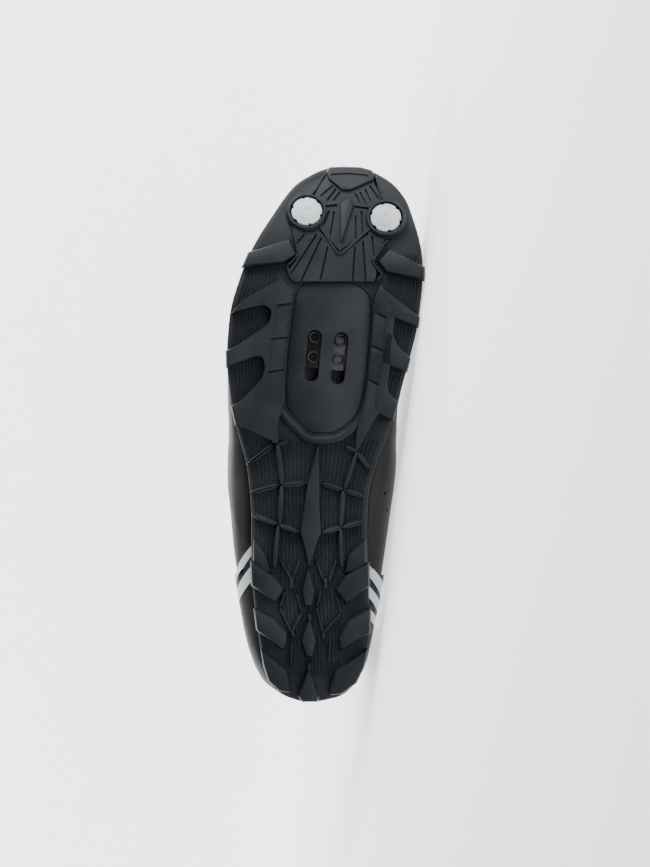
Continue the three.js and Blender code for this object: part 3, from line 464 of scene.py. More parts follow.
fan_rows = [
    (0.985, -0.3, 0.46), (0.962, -0.44, 0.52), (0.94, -0.52, 0.66), (0.912, -0.66, 0.8), (0.885, -0.66, 0.72),
    (0.86, -0.57, 0.6), (0.838, -0.48, 0.54), (0.8165, -0.46, 0.43), (0.8, -0.5, 0.5), (0.785, -0.46, 0.5),
    (0.7785, -0.42, 0.49),
]
# Thin ribs of the arch, which taper to their ends: from, to, width
arch_ribs = [
    ((0.44, -0.99), (0.482, -0.5), 3.8), ((0.474, -0.53), (0.485, -0.31), 2.8),
    ((0.475, 0.45), (0.4635, 0.67), 3), ((0.4665, 0.63), (0.429, 0.94), 4.4),
    ((0.388, -1), (0.404, -0.46), 3.8), ((0.4015, -0.52), (0.406, -0.03), 3.8),
    ((0.4055, 0.16), (0.3925, 0.6), 3.8), ((0.3945, 0.54), (0.38, 0.95), 4),
    ((0.348, -0.99), (0.328, -0.5), 3.8), ((0.331, -0.56), (0.3145, -0.15), 3.8),
    ((0.3145, 0.2), (0.3255, 0.59), 3.8), ((0.3235, 0.53), (0.336, 0.95), 3.8),
]
arch_beams = [
    ((0.481, -0.49), (0.401, -0.45), 5), ((0.404, -0.46), (0.328, -0.51), 4.2), ((0.33, -0.53),
    (0.25, -0.61), 3.6),
    ((0.467, 0.65), (0.392, 0.575), 3.4), ((0.395, 0.56), (0.323, 0.545), 4.2), ((0.325, 0.54),
    (0.25, 0.55), 3.4),
]
# Low ridges: the web of the heel, the V before the kite and the edges of the fan
low_ridges = [
    ((0.264, -0.507), (0.227, -0.317)), ((0.227, -0.317), (0.264, -0.171)), ((0.264, 0.117), (0.227, 0.221)),
    ((0.225, 0.316), (0.264, 0.463)), ((0.207, -0.444), (0.178, -0.565)), ((0.178, -0.565), (0.132, -0.406)),
    ((0.132, -0.39), (0.167, -0.182)), ((0.167, -0.182), (0.202, -0.254)), ((0.209, 0.175), (0.178, 0.078)),
    ((0.178, 0.078), (0.13, 0.156)), ((0.13, 0.17), (0.165, 0.502)), ((0.165, 0.502), (0.196, 0.438)),
    ((0.305, -0.05), (0.252, -0.02)), ((0.115, -0.4), (0.07, -0.42)), ((0.115, 0.3), (0.075, 0.27)),
]
bridges = [
    ((0.232, -0.325), (0.21, -0.333)), ((0.232, 0.26), (0.21, 0.25)), ((0.136, -0.39), (0.12, -0.36)),
    ((0.132, 0.175), (0.118, 0.174)), ((0.168, -0.055), (0.152, -0.06)), ((0.076, -0.088), (0.058, -0.088)),
]
panel_ridges = [
    ((0.887, -0.3), (0.828, 0.035), 2), ((0.88, 0.4), (0.828, 0.045), 2), ((0.986, -0.304),
    (0.945, -0.513), 1.3),
    ((0.986, 0.49), (0.935, 0.605), 1.3), ((0.872, -0.591), (0.83, -0.43), 1.4), ((0.83, -0.43),
    (0.807, -0.516), 1.4),
    ((0.807, -0.516), (0.781, -0.42), 1.4), ((0.858, 0.607), (0.816, 0.425), 1.4), ((0.816, 0.425),
    (0.792, 0.55), 1.4),
    ((0.792, 0.55), (0.779, 0.5), 1.4),
]
# Narrow cuts that fan out over the panel before the cleat
fan_cuts = [
    ((0.867, -0.437), (0.847, -0.497)), ((0.867, -0.282), (0.791, -0.455)), ((0.862, -0.209), (0.78, -0.321)),
    ((0.844, -0.111), (0.783, -0.114)), ((0.844, 0.215), (0.779, 0.237)), ((0.855, 0.304), (0.779, 0.38)),
    ((0.865, 0.414), (0.827, 0.442)), ((0.913, -0.199), (0.887, -0.228)), ((0.911, -0.128), (0.865, -0.107)),
    ((0.903, 0.19), (0.858, 0.215)), ((0.912, 0.271), (0.865, 0.3)), ((0.961, -0.189), (0.941, -0.388)),
    ((0.955, -0.137), (0.932, -0.28)), ((0.949, -0.074), (0.932, -0.176)), ((0.946, 0.177), (0.928, 0.24)),
    ((0.949, 0.25), (0.925, 0.341)), ((0.954, 0.333), (0.931, 0.415)), ((0.961, 0.407), (0.937, 0.543)),
]
cross_cuts = [((0.92, -0.35), (0.923, -0.1)), ((0.92, 0.17), (0.916, 0.42)), ((0.876, -0.25), (0.835, 0.03)),
              ((0.869, 0.36), (0.836, 0.055))]
window_rows = [
    (0.779, -0.2, 0.2), (0.775, -0.29, 0.27), (0.766, -0.335, 0.37), (0.754, -0.345, 0.44),
    (0.74, -0.345, 0.475),
    (0.7, -0.34, 0.505), (0.65, -0.338, 0.535), (0.6, -0.34, 0.57), (0.555, -0.345, 0.575),
    (0.545, -0.33, 0.56),
    (0.526, -0.225, 0.51), (0.508, -0.1, 0.38), (0.499, -0.01, 0.25),
]


def shifted(level, rise):
    """A height curve moved up by some mm."""
    return lambda s: level(s) + rise * mm


def on_tread(corners):
    return [spot(*corner) for corner in corners]


def rounded(points, radius):
    """A plan outline with its corners rounded."""
    smooth = []
    for i, point in enumerate(points):
        before, after = points[i - 1] - point, points[(i + 1) % len(points)] - point
        a = point + before.normalized() * min(radius, before.length * 0.4)
        b = point + after.normalized() * min(radius, after.length * 0.4)
        for t in (0, 0.33, 0.67, 1):
            smooth.append(a * (1 - t) ** 2 + point * 2 * t * (1 - t) + b * t * t)
    return smooth


def window_plan(inset):
    lateral = [spot(s, a) for s, a, b in window_rows]
    medial = [spot(s, b) for s, a, b in reversed(window_rows)]
    return moved_in(lateral + medial, inset) if inset else lateral + medial


def flatten(piece):
    """Splits faces with more than four corners, so that none is bent."""
    def work():
        bpy.ops.mesh.quads_convert_to_tris(quad_method="BEAUTY", ngon_method="BEAUTY")
        bpy.ops.mesh.normals_make_consistent(inside=False)
    in_edit(piece, work)


def cut_out(piece, tool):
    """Cuts a tool out of a piece and removes the tool."""
    flatten(piece)
    flatten(tool)
    modify(piece, "BOOLEAN", object=tool, operation="DIFFERENCE", solver="EXACT")
    bpy.data.objects.remove(tool)


def plan_cutter(plan, low, high, draft=0.0):
    """A tool on a plan, between two heights, wider by the draft at its far end."""
    return moulded_block(plan, low, high, draft=-draft, edge=0)


def line_cutter(start, end, width, low, high):
    a, b = spot(*start), spot(*end)
    across = Vector((a.y - b.y, b.x - a.x)).normalized() * width / 2
    return plan_cutter([a + across, b + across, b - across, a - across], low, high, draft=width * 0.15)


def sole_sheet(rib):
    low = [share * rib.reach for share in (0, 0.2, 0.4, 0.6, 0.8)]
    rim = rib.reach
    base = floor_of(rib.along(rim))
    shoulder = [(3.6, 0), (2.4, 0.15), (1.3, 0.6), (0.5, 1.3), (0, 2.2)]
    return ([(reach, floor_of(rib.along(reach))) for reach in low]
            + [(rim - inset * mm, base + rise * mm) for inset, rise in shoulder]
            + [(reach, floor_of(rib.along(reach)) + 2.6 * mm) for reach in [rim] + low[::-1]])


outsole_floor = round_form("outsole_floor", 90, sole_sheet)
cut_out(outsole_floor, plan_cutter(window_plan(0), lambda s: -5 * mm, lambda s: 40 * mm))
tread_pieces = [outsole_floor]
lateral_side = moulded_block(rounded(on_tread(lateral_frame), 1 * mm), tread, root_of, draft=0.8 * mm, edge=0)
for corners in lateral_recesses:
    recess = rounded(on_tread(corners), 4 * mm)
    cut_out(lateral_side, plan_cutter(recess, shifted(tread, -1), shifted(floor_of, 3), draft=1.2 * mm))
medial_side = moulded_bar(medial_rail, tread, root_of, edge=0)
for side_piece, inset, side in ((lateral_side, lateral_inset, -1), (medial_side, medial_inset, 1)):
    cut_out(side_piece, plan_cutter(on_tread(inset), shifted(tread, -1), shifted(tread, 0.45)))
    for start, end in rail_cuts:
        if start[1] * side > 0:
            cut_out(side_piece, line_cutter(start, end, 0.9 * mm, shifted(tread, -1), shifted(tread, 1.6)))
    round_edges(side_piece, 0.4 * mm, angle=30)
    tread_pieces.append(side_piece)
for corners in medial_lugs:
    tread_pieces.append(moulded_block(on_tread(corners), tread, root_of, draft=0.8 * mm, edge=0.4 * mm))
toe_lug = moulded_block(moved_in(on_tread(fore_lugs[-1]), -0.5 * mm), tread, root_of, edge=0.4 * mm)
cut_out(toe_lug, plan_cutter(on_tread(toe_inset), shifted(tread, -2), shifted(tread, 0.8)))
tread_pieces.append(toe_lug)
for corners in fore_lugs[:-1] + heel_lugs:
    tread_pieces.append(moulded_block(moved_in(on_tread(corners), -0.5 * mm), tread, root_of, edge=0.4 * mm))
for corners in heel_ramps:
    tread_pieces.append(moulded_block(on_tread(corners), ramp_top, root_of))
tread_pieces.append(moulded_bar(spine_bar, tread, root_of))
fan = moulded_bar(fan_rows, panel_of, root_of)
for start, end in fan_cuts:
    cut_out(fan, line_cutter(start, end, 0.8 * mm, shifted(panel_of, -2), shifted(panel_of, 1.6)))
for start, end in cross_cuts:
    cut_out(fan, line_cutter(start, end, 1.2 * mm, shifted(panel_of, -2), shifted(panel_of, 1.3)))
tread_pieces.append(fan)
tread_pieces.append(moulded_block(on_tread(kite), tread, root_of, draft=1.4 * mm, edge=0.25 * mm))
for start, end, width in panel_ridges:
    tread_pieces.append(rib_bar(start, end, width * mm, shifted(panel_of, -0.9), root_of))
for start, end, width in arch_ribs:
    tread_pieces.append(rib_bar(start, end, width * mm, tread, root_of, taper=0.75))
for start, end, width in arch_beams:
    tread_pieces.append(rib_bar(start, end, width * mm, tread, root_of, taper=0.3))
for start, end in low_ridges:
    tread_pieces.append(rib_bar(start, end, 2 * mm, shifted(floor_of, -2.2), root_of))
for start, end in bridges:
    tread_pieces.append(rib_bar(start, end, 3 * mm, shifted(floor_of, -3.4), root_of))

# Fine lines run along the floor between the lugs
line_bands = [((0.51, 0.845), -0.94, -0.6), ((0.52, 0.83), 0.62, 0.95), ((0.262, 0.487), -0.9, 0.9),
              ((0.05, 0.262), -0.5, 0.46)]
for (start, end), lateral, medial in line_bands:
    count = round((medial - lateral) * half_of((start + end) / 2) / (1.9 * mm))
    for k in range(count + 1):
        across = blend(lateral, medial, k / count)
        tread_pieces.append(moulded_bar(
            [(blend(start, end, i / 8), across - 0.009, across + 0.009) for i in range(9)],
            shifted(floor_of, -0.7), root_of, edge=0))

# A raised lip with a sloping inner wall stands round the back of the cleat's window
lip_section = [(0, 5.5), (0.1, 5), (1.9, -0.1), (2.6, -0.5), (4.2, -0.5), (5.2, 0), (5.9, 3.6)]
lip_rows = 48


def lip_point(share):
    """A place on the back half of the window's edge, from its lateral to its medial side."""
    back_rows = window_rows[7:]
    corners = [spot(s, a) for s, a, b in back_rows] + [spot(s, b) for s, a, b in reversed(back_rows)]
    way = min(max(share, 0), 1) * (len(corners) - 1)
    i = min(int(way), len(corners) - 2)
    t = way - i
    before, after = corners[max(i - 1, 0)], corners[min(i + 2, len(corners) - 1)]
    a, b = corners[i], corners[i + 1]
    return (a * (2 * t ** 3 - 3 * t ** 2 + 1) + b * (3 * t ** 2 - 2 * t ** 3)
            + (b - before) / 2 * (t ** 3 - 2 * t ** 2 + t) + (after - a) / 2 * (t ** 3 - t ** 2))


def lip_place(row, column):
    way = (lip_point((row + 0.5) / lip_rows) - lip_point((row - 0.5) / lip_rows)).normalized()
    out, drop = lip_section[column]
    point = lip_point(row / lip_rows) + Vector((-way.y, way.x)) * out * mm
    return Vector((point.x, point.y, panel_of(point.y / sole_length) + drop * mm))


lip = shaped_grid("window_lip", lip_rows, len(lip_section) - 1, lip_place)
tread_pieces.append(lip)
outsole = joined(tread_pieces, "outsole_tread")


def grain_group():
    """Fine moulded grain: a bumped normal and a slow change of tone."""
    tree = bpy.data.node_groups.new("moulded_grain", "ShaderNodeTree")
    for name, default in (("Grain Size", 900.0), ("Grain Depth", 0.15)):
        socket = tree.interface.new_socket(name, in_out="INPUT", socket_type="NodeSocketFloat")
        socket.default_value = default
    tree.interface.new_socket("Normal", in_out="OUTPUT", socket_type="NodeSocketVector")
    tree.interface.new_socket("Tone", in_out="OUTPUT", socket_type="NodeSocketFloat")
    nodes, links = tree.nodes, tree.links
    inside, outside = nodes.new("NodeGroupInput"), nodes.new("NodeGroupOutput")
    place = nodes.new("ShaderNodeTexCoord")
    fine, slow = nodes.new("ShaderNodeTexNoise"), nodes.new("ShaderNodeTexNoise")
    fine.inputs["Detail"].default_value = 3
    slow.inputs["Scale"].default_value = 45
    slow.inputs["Detail"].default_value = 5
    bump = nodes.new("ShaderNodeBump")
    bump.inputs["Distance"].default_value = 0.0004
    links.new(place.outputs["Object"], fine.inputs["Vector"])
    links.new(place.outputs["Object"], slow.inputs["Vector"])
    links.new(inside.outputs["Grain Size"], fine.inputs["Scale"])
    links.new(inside.outputs["Grain Depth"], bump.inputs["Strength"])
    links.new(fine.outputs["Fac"], bump.inputs["Height"])
    links.new(bump.outputs["Normal"], outside.inputs["Normal"])
    links.new(slow.outputs["Fac"], outside.inputs["Tone"])
    return tree


moulded_grain = grain_group()


def moulded_material(name, dark, light, rough, size=900, depth=0.15, gloss=0.22):
    """A moulded rubber or plastic between two tones, with its grain."""
    material = bpy.data.materials.new(name)
    material.use_nodes = True
    nodes, links = material.node_tree.nodes, material.node_tree.links
    shader = nodes["Principled BSDF"]
    shader.inputs["Specular IOR Level"].default_value = gloss
    grain = nodes.new("ShaderNodeGroup")
    grain.node_tree = moulded_grain
    grain.inputs["Grain Size"].default_value = size
    grain.inputs["Grain Depth"].default_value = depth
    tones = nodes.new("ShaderNodeValToRGB")
    tones.color_ramp.elements[0].position = 0.3
    tones.color_ramp.elements[0].color = (*dark, 1)
    tones.color_ramp.elements[1].position = 0.7
    tones.color_ramp.elements[1].color = (*light, 1)
    shine = nodes.new("ShaderNodeMapRange")
    shine.inputs["To Min"].default_value = rough[0]
    shine.inputs["To Max"].default_value = rough[1]
    links.new(grain.outputs["Tone"], tones.inputs["Fac"])
    links.new(grain.outputs["Tone"], shine.inputs["Value"])
    links.new(tones.outputs["Color"], shader.inputs["Base Color"])
    links.new(shine.outputs["Result"], shader.inputs["Roughness"])
    links.new(grain.outputs["Normal"], shader.inputs["Normal"])
    return material


outsole_rubber = moulded_material("outsole_rubber", (0.0075, 0.0094, 0.0118), (0.015, 0.0182, 0.022),
                                  (0.42, 0.58), gloss=0.13)
settle(outsole, outsole_rubber, replaces=("outsole",))

# Sole body
# A moulded nylon plate as thick as the sole's side, with a groove round it. Its underside fills the outsole's
# window as the floor of the cleat's pocket, where two slots take the cleat's bolts.
tuck_rows = [(0, 0.7), (0.05, 0.6), (0.1, 0.5), (0.15, 0.4), (0.22, 0.3), (0.29, 0.2), (0.4, 0.2),
(0.45, 0.3),
             (0.5, 0.4), (0.55, 0.5), (0.63, 0.7), (0.74, 0.8), (0.87, 0.9), (1, 1)]
tuck_of = curve_through(tuck_rows, lambda row: row[1] * 2.5 * mm)
side_steps = [(0, 0.3), (0.1, 0.1), (0.27, 0.1), (0.32, 0.4), (0.36, 1), (0.56, 1), (0.6, 0.4), (0.66, 0),
(0.9, 0),
              (0.97, 0.2), (1, 0.5)]


def under_body(s):
    return floor_of(s) + 2.9 * mm


def body_profile(rib):
    edge = rib.along(rib.reach)
    side = [(rib.reach - cut * 1.1 * mm, blend(under_body(edge), seat(edge), up)) for up, cut in side_steps]
    shares = (0, 0.2, 0.4, 0.6, 0.8)
    low = [(share * rib.reach, under_body(rib.along(share * rib.reach))) for share in shares]
    high = [(share * rib.reach, seat(rib.along(share * rib.reach))) for share in shares[::-1]]
    return low + side + high


sole_body = round_form("sole_body", 90, body_profile)
pocket_depth = 6.4 * mm
pocket = moulded_block(window_plan(0.3 * mm), lambda s: pocket_depth, shifted(under_body, 1), 0, 0.3 * mm)
cleat_middle = Vector((-0.093 * ball_width, 0.64 * sole_length))
cleat_twist = math.radians(5.4)
slot_width = 7.4 * mm
slot_length = 27.5 * mm
bolt_spacing = 14 * mm


def cleat_spot(across, along):
    turned = Matrix.Rotation(cleat_twist, 2) @ Vector((across, along))
    return cleat_middle + turned


def slot_plan(side, grow=0.0):
    radius = slot_width / 2 + grow
    straight = (slot_length - slot_width) / 2
    plan = []
    for end in (1, -1):
        for i in range(13):
            angle = math.pi * i / 12 + (0 if end > 0 else math.pi)
            plan.append(cleat_spot(side * bolt_spacing / 2 + radius * math.cos(angle),
                                   end * straight + radius * math.sin(angle)))
    return plan


pieces = [sole_body, pocket]
for side in (1, -1):
    for piece in pieces:
        cut_out(piece, plan_cutter(slot_plan(side), lambda s: 0, lambda s: 30 * mm))
sole_body = joined(pieces, "sole_body")
sole_nylon = moulded_material("sole_nylon", (0.007, 0.009, 0.0125), (0.013, 0.016, 0.021),
                              (0.36, 0.48), 1400, 0.06)
settle(sole_body, sole_nylon, replaces=("midsole",))

# Nut plate
# A pressed steel plate in the sole body with four threaded barrels that stand in the slots, to take the
# cleat's bolts.


def turned(name, sides, profile, middle=(0, 0)):
    """A form turned on a lathe from a profile of radius and height in mm."""
    def place(row, column):
        radius, z = profile[column]
        angle = 2 * math.pi * row / sides
        return Vector((middle[0] + radius * mm * math.cos(angle), middle[1] + radius * mm * math.sin(angle),
                       z * mm))
    piece = shaped_grid(name, sides, len(profile) - 1, place)
    weld(piece)
    return piece


bpy.ops.mesh.primitive_cube_add(size=1)
nut_parts = [bpy.context.object]
for vertex in nut_parts[0].data.vertices:
    point = cleat_spot(vertex.co.x * 26 * mm, vertex.co.y * 22 * mm + 4.5 * mm)
    vertex.co = (point.x, point.y, (vertex.co.z + 0.5) * 2 * mm + 10.3 * mm)
modify(nut_parts[0], "BEVEL", width=0.4 * mm, segments=2)
for side in (1, -1):
    for row in (1, -1):
        middle = cleat_spot(side * bolt_spacing / 2, 4.5 * mm + row * 5.25 * mm)
        profile = [(2.05, 12.2), (2.05, 10.9), (2.3, 10.7), (2.05, 10.5), (2.3, 10.1), (2.05, 9.9),
                   (2.3, 9.5), (2.05, 9.3), (2.3, 8.9), (2.05, 8.7), (2.3, 8.3), (2.1, 8.1), (2.35, 7.35),
                   (2.9, 7.3), (3.2, 7.6), (3.2, 10.5), (3.2, 12.2), (2.05, 12.2)]
        nut_parts.append(turned("barrel", 32, profile, middle))
nut_plate = joined(nut_parts, "nut_plate_barrels")
steel = moulded_material("plate_steel", (0.03, 0.03, 0.032), (0.05, 0.05, 0.053), (0.28, 0.4), 600, 0.05)
steel.node_tree.nodes["Principled BSDF"].inputs["Metallic"].default_value = 0.8
settle(nut_plate, steel, replaces=("nut_plate",))

# Spike caps
# Two silver-grey plastic caps close the sockets for toe spikes. Each has a rim with six notches to turn it,
# and sits in a raised rubber ring.
spike_radius = 8.5 * mm


def spike_frame(s, t):
    slope = math.atan((tread(s + 0.01) - tread(s - 0.01)) / (0.02 * sole_length))
    point = spot(s, t)
    return Matrix.Translation((point.x, point.y, tread(s))) @ Matrix.Rotation(slope, 4, "X")


cap_plastic = moulded_material("cap_plastic", (0.3, 0.325, 0.34), (0.46, 0.49, 0.51), (0.4, 0.55), 420, 0.35)
for name, s, t in (("spike_cap_lateral", 0.912, -0.53), ("spike_cap_medial", 0.9, 0.615)):
    profile = [(0, 0.35), (1.6, 0.3), (2, 0), (4.8, 0), (5.3, 0.25), (7, 0.25), (7.7, 0.4), (8.1, 0.9),
               (8.1, 2.4), (0, 2.4)]
    cap = turned(name + "_turned", 72, profile)
    for k in range(6):
        angle = 2 * math.pi * (k + 0.3) / 6
        deselect()
        bpy.ops.mesh.primitive_cylinder_add(vertices=20, radius=1.25 * mm, depth=8 * mm, location=(
            spike_radius * math.cos(angle), spike_radius * math.sin(angle), 0))
        cut_out(cap, bpy.context.object)
    round_edges(cap, 0.15 * mm, angle=50)
    cap.data.transform(spike_frame(s, t))
    settle(cap, cap_plastic, replaces=(name,))
    ring_profile = [(8.8, 4.5), (8.8, 0.5), (9.1, 0.1), (9.9, 0.1), (10.3, 0.5), (11.2, 5)]
    ring = turned(name + "_ring", 72, ring_profile)
    ring.data.transform(spike_frame(s, t))
    settle(ring, outsole_rubber)

# Upper
# Black synthetic leather and foam over a textile lining, stretched over the last and turned in under the
# foot, with a padded collar and an open throat.
upper_rows = [  # along, lateral flare, medial flare, swell, squareness
    (0, 0.02, 0.02, 0.5, 3), (0.02, 0.08, 0.02, 0.5, 2.8), (0.05, 0.26, 0.03, 0.5, 2.3),
    (0.1, 0.5, 0.06, 0.5, 1.95),
    (0.15, 0.6, 0.2, 0.5, 1.8), (0.22, 0.65, 0.53, 0.5, 1.75), (0.29, 0.81, 0.8, 0.66, 1.75),
    (0.36, 0.91, 0.97, 0.9, 1.82), (0.4, 0.9, 1, 1, 1.9), (0.45, 0.73, 0.76, 0.95, 1.98),
    (0.5, 0.39, 0.37, 0.85, 2.05), (0.55, 0.17, 0.1, 0.66, 2.1),
    (0.63, -0.02, -0.04, 0.55, 2.2), (0.74, -0.08, -0.1, 0.45, 2.3), (0.87, -0.12, -0.12, 0.4, 2.4),
    (1, -0.12, -0.12, 0.4, 2.4),
]
lateral_flare = curve_through(upper_rows, lambda row: row[1] * 13.7 * mm)
medial_flare = curve_through(upper_rows, lambda row: row[2] * 13.7 * mm)
swell_of = curve_through(upper_rows, lambda row: row[3] * 22 * mm)
box_of = curve_through(upper_rows, lambda row: row[4])
ridge_of = curve_through([(0.12, 1), (0.24, 1), (0.32, 0.985), (0.37, 0.945), (0.42, 0.885), (0.5, 0.785),
                          (0.58, 0.695), (0.66, 0.615), (0.74, 0.55), (0.8, 0.51), (0.86, 0.475)],
                         lambda row: row[1] * 118 * mm)
collar_of = curve_through([(-0.1, 1.005), (0, 1), (0.04, 0.985), (0.1, 0.9), (0.19, 0.825), (0.28, 0.84),
(0.35, 0.94),
                           (0.4, 1.07), (0.425, 1.2)], lambda row: row[1] * 88 * mm)
throat_half = curve_through([(0.39, 1.12), (0.5, 1), (0.6, 0.84), (0.69, 0.66)], lambda row: row[1] * 19 * mm)
wall = 2.2 * mm
gap = 0.3 * mm
upper_ribs = 110
turn_steps = 30


def skin(rib, turn, grow=0.0):
    """The upper on a rib, as reach and height: turn 0 is the ridge, 1 the widest line, 1.5 the sole."""
    feather = rib.reach - tuck_of(rib.s) + grow
    out = (medial_flare if rib.side < 0 else lateral_flare)(rib.s) + tuck_of(rib.s)
    bottom = seat(rib.along(feather)) + gap + max(0, -grow)
    middle = bottom + swell_of(rib.s)
    if turn > 1:
        angle = (1.5 - turn) * math.pi
        return feather + out * math.sin(angle), bottom + (middle - bottom) * (1 - math.cos(angle))
    top = ridge_of(rib.spine_s) + grow
    if turn <= 0:
        return 0.0, top
    angle = (1 - turn) * math.pi / 2
    power = 2 / box_of(rib.s)
    return (feather + out) * math.cos(angle) ** power, middle + (top - middle) * math.sin(angle) ** power


def collar_pad(rib, turn):
    reach, z = skin(rib, turn)
    s = rib.along(reach)
    top = collar_of(s)
    return wall + 4.5 * mm * ease(z, top - 24 * mm, top - 6 * mm) * (1 - ease(s, 0.36, 0.46))


def is_open(rib, turn):
    """Whether a place on the skin is cut away, above the collar's line or inside the throat."""
    reach, z = skin(rib, turn)
    point = rib.at(reach, z)
    s = point.y / sole_length
    if s < 0.425 and z > collar_of(s):
        return True
    aside = abs(point.x + centre_of(s))
    if 0.39 <= s <= 0.69:
        return aside < throat_half(s)
    if s > 0.69:
        return aside ** 2 + (point.y - 0.69 * sole_length) ** 2 < throat_half(0.69) ** 2
    return False


def top_turn(rib):
    if not is_open(rib, 0):
        return 0.0
    low, high = 0.0, 1.0
    for step in range(1, 60):
        if not is_open(rib, step / 60):
            high = step / 60
            low = (step - 1) / 60
            break
    for _ in range(14):
        middle = (low + high) / 2
        if is_open(rib, middle):
            low = middle
        else:
            high = middle
    return high


def upper_profile(rib):
    first = top_turn(rib)
    turns = [blend(1.5, first, i / turn_steps) for i in range(turn_steps + 1)]
    outer = [skin(rib, turn) for turn in turns]
    inner = [skin(rib, turn, -collar_pad(rib, turn)) for turn in reversed(turns)]
    mouth = rib.reach - tuck_of(rib.s) - 11 * mm
    under = seat(rib.along(mouth)) + gap
    middle = Vector(outer[-1]) * 0.5 + Vector(inner[0]) * 0.5
    half_thick = (Vector(outer[-1]) - Vector(inner[0])).length / 2
    lift = (Vector(outer[-1]) - Vector(outer[-2])).normalized() * half_thick
    if first == 0:
        lift = Vector((0, 0))
    rim = [Vector(outer[-1]) * 0.93 + middle * 0.07 + lift * 0.5, middle + lift,
           Vector(inner[0]) * 0.93 + middle * 0.07 + lift * 0.5]
    closing = [(mouth, under + wall), (mouth, under)]
    return [(mouth, under)] + outer + [tuple(p) for p in rim] + inner + closing


def upper_shell():
    """The upper as one closed wall; over the toe its sides meet at the ridge, so the rim there comes out."""
    ribs = all_ribs(upper_ribs)
    profiles = [upper_profile(rib) for rib in ribs]
    closed = [top_turn(rib) == 0 for rib in ribs]
    count = len(profiles[0]) - 1
    piece = shaped_grid("upper_shell", 2 * upper_ribs, count,
                        lambda row, column: ribs[row].at(*profiles[row][column]))
    per_column = 2 * upper_ribs + 1
    for part in list(piece.data.vertices) + list(piece.data.edges):
        part.select = False
    for face in piece.data.polygons:
        rows = {v % per_column for v in face.vertices}
        columns = {v // per_column for v in face.vertices}
        on_rim = min(columns) > turn_steps and max(columns) <= turn_steps + 5
        face.select = on_rim and all(closed[row] for row in rows)
    take(piece)
    bpy.ops.object.mode_set(mode="EDIT")
    bpy.ops.mesh.delete(type="FACE")
    bpy.ops.object.mode_set(mode="OBJECT")
    weld(piece)
    return piece


upper = upper_shell()
# A row of five small vent holes is punched through the arch's side, low on the medial bulge
punch_rows = [  # place along, mm out from the sole's middle line
    (0.477, 42), (0.447, 41), (0.417, 40.7), (0.386, 40.8), (0.355, 41.9),
]
upper_tree = BVHTree.FromPolygons([v.co.copy() for v in upper.data.vertices],
                                  [list(face.vertices) for face in upper.data.polygons])
for along, out in punch_rows:
    below = Vector((-out * mm, along * sole_length, 0))
    place, normal = upper_tree.ray_cast(below, Vector((0, 0, 1)))[:2]
    deselect()
    bpy.ops.mesh.primitive_cylinder_add(vertices=16, radius=0.9 * mm, depth=9 * mm)
    punch = bpy.context.object
    punch.data.transform(Matrix.Translation(place) @ normal.to_track_quat("Z", "Y").to_matrix().to_4x4())
    cut_out(upper, punch)
upper_leather = moulded_material("upper_leather", (0.01, 0.01, 0.0112), (0.018, 0.018, 0.0195),
                                 (0.42, 0.55), 1500, 0.3)
settle(upper, upper_leather, angle=50, replaces=("upper",))

# Collar lining
# Soft mesh cloth over the collar's foam, turned in at the rim and glued down inside.
round_ribs = all_ribs(upper_ribs)
from_toe = round_ribs[upper_ribs:-1] + round_ribs[:upper_ribs]
back_round = [rib for rib in from_toe if rib.s < 0.4 and top_turn(rib) > 0]


def lining_place(row, column):
    rib = back_round[row]
    turn = blend(top_turn(rib), 1.3, column / 24)
    return rib.at(*skin(rib, turn, -collar_pad(rib, turn) - 0.25 * mm))


lining = shaped_grid("collar_lining", len(back_round) - 1, 24, lining_place)
modify(lining, "SOLIDIFY", thickness=0.3 * mm, offset=0)
lining_cloth = moulded_material("lining_cloth", (0.012, 0.012, 0.013), (0.03, 0.03, 0.032),
                                (0.85, 0.95), 1900, 0.6)
settle(lining, lining_cloth, angle=60)

# Insole
# A moulded foam sheet under dark cloth, loose in the shoe.
def insole_profile(rib):
    rise = gap + wall + gap
    edge = rib.reach - tuck_of(rib.s) - wall - 0.8 * mm
    reaches = [share * edge for share in (0, 0.25, 0.5, 0.75)]

    def base(reach):
        return seat(rib.along(reach)) + rise
    return ([(reach, base(reach)) for reach in reaches]
            + [(edge, base(edge)), (edge, base(edge) + 3 * mm), (edge - 0.6 * mm, base(edge) + 3.8 * mm),
               (edge - 1.6 * mm, base(edge) + 4 * mm)]
            + [(reach, base(reach) + 4 * mm) for reach in reaches[::-1]])


insole = round_form("insole_sheet", 60, insole_profile)
insole_cloth = moulded_material("insole_cloth", (0.04, 0.04, 0.045), (0.06, 0.06, 0.065),
                                (0.85, 0.95), 1200, 0.4)
settle(insole, insole_cloth, angle=50, replaces=("insole",))

# Toe cap and heel counter
# Thin coated layers bonded over the leather at the toe and the heel, with rounded edges.
layer_foot = 1.46


def layer_on_skin(name, ribs, line, thickness):
    """A layer over the upper, from the sole's edge up to a line in the side view."""
    def covered(rib, turn):
        point = rib.at(*skin(rib, turn, gap))
        return point.z < line(point.y / sole_length)

    def top_of(rib):
        turn = layer_foot
        while turn > 0.01 and covered(rib, turn - 0.01):
            turn -= 0.01
        high, low = turn, max(turn - 0.01, 0)
        for _ in range(8):
            middle = (high + low) / 2
            high, low = (middle, low) if covered(rib, middle) else (high, middle)
        return high if high > 0.005 else 0
    kept = [(rib, top_of(rib)) for rib in ribs]
    kept = [(rib, top) for rib, top in kept if top < layer_foot - 0.02]

    def place(row, column):
        rib, top = kept[row]
        return rib.at(*skin(rib, blend(layer_foot, top, column / 36), gap))
    piece = shaped_grid(name, len(kept) - 1, 36, place)
    weld(piece)
    modify(piece, "SOLIDIFY", thickness=thickness, offset=1)
    round_edges(piece, 0.35 * mm, angle=60)
    return piece


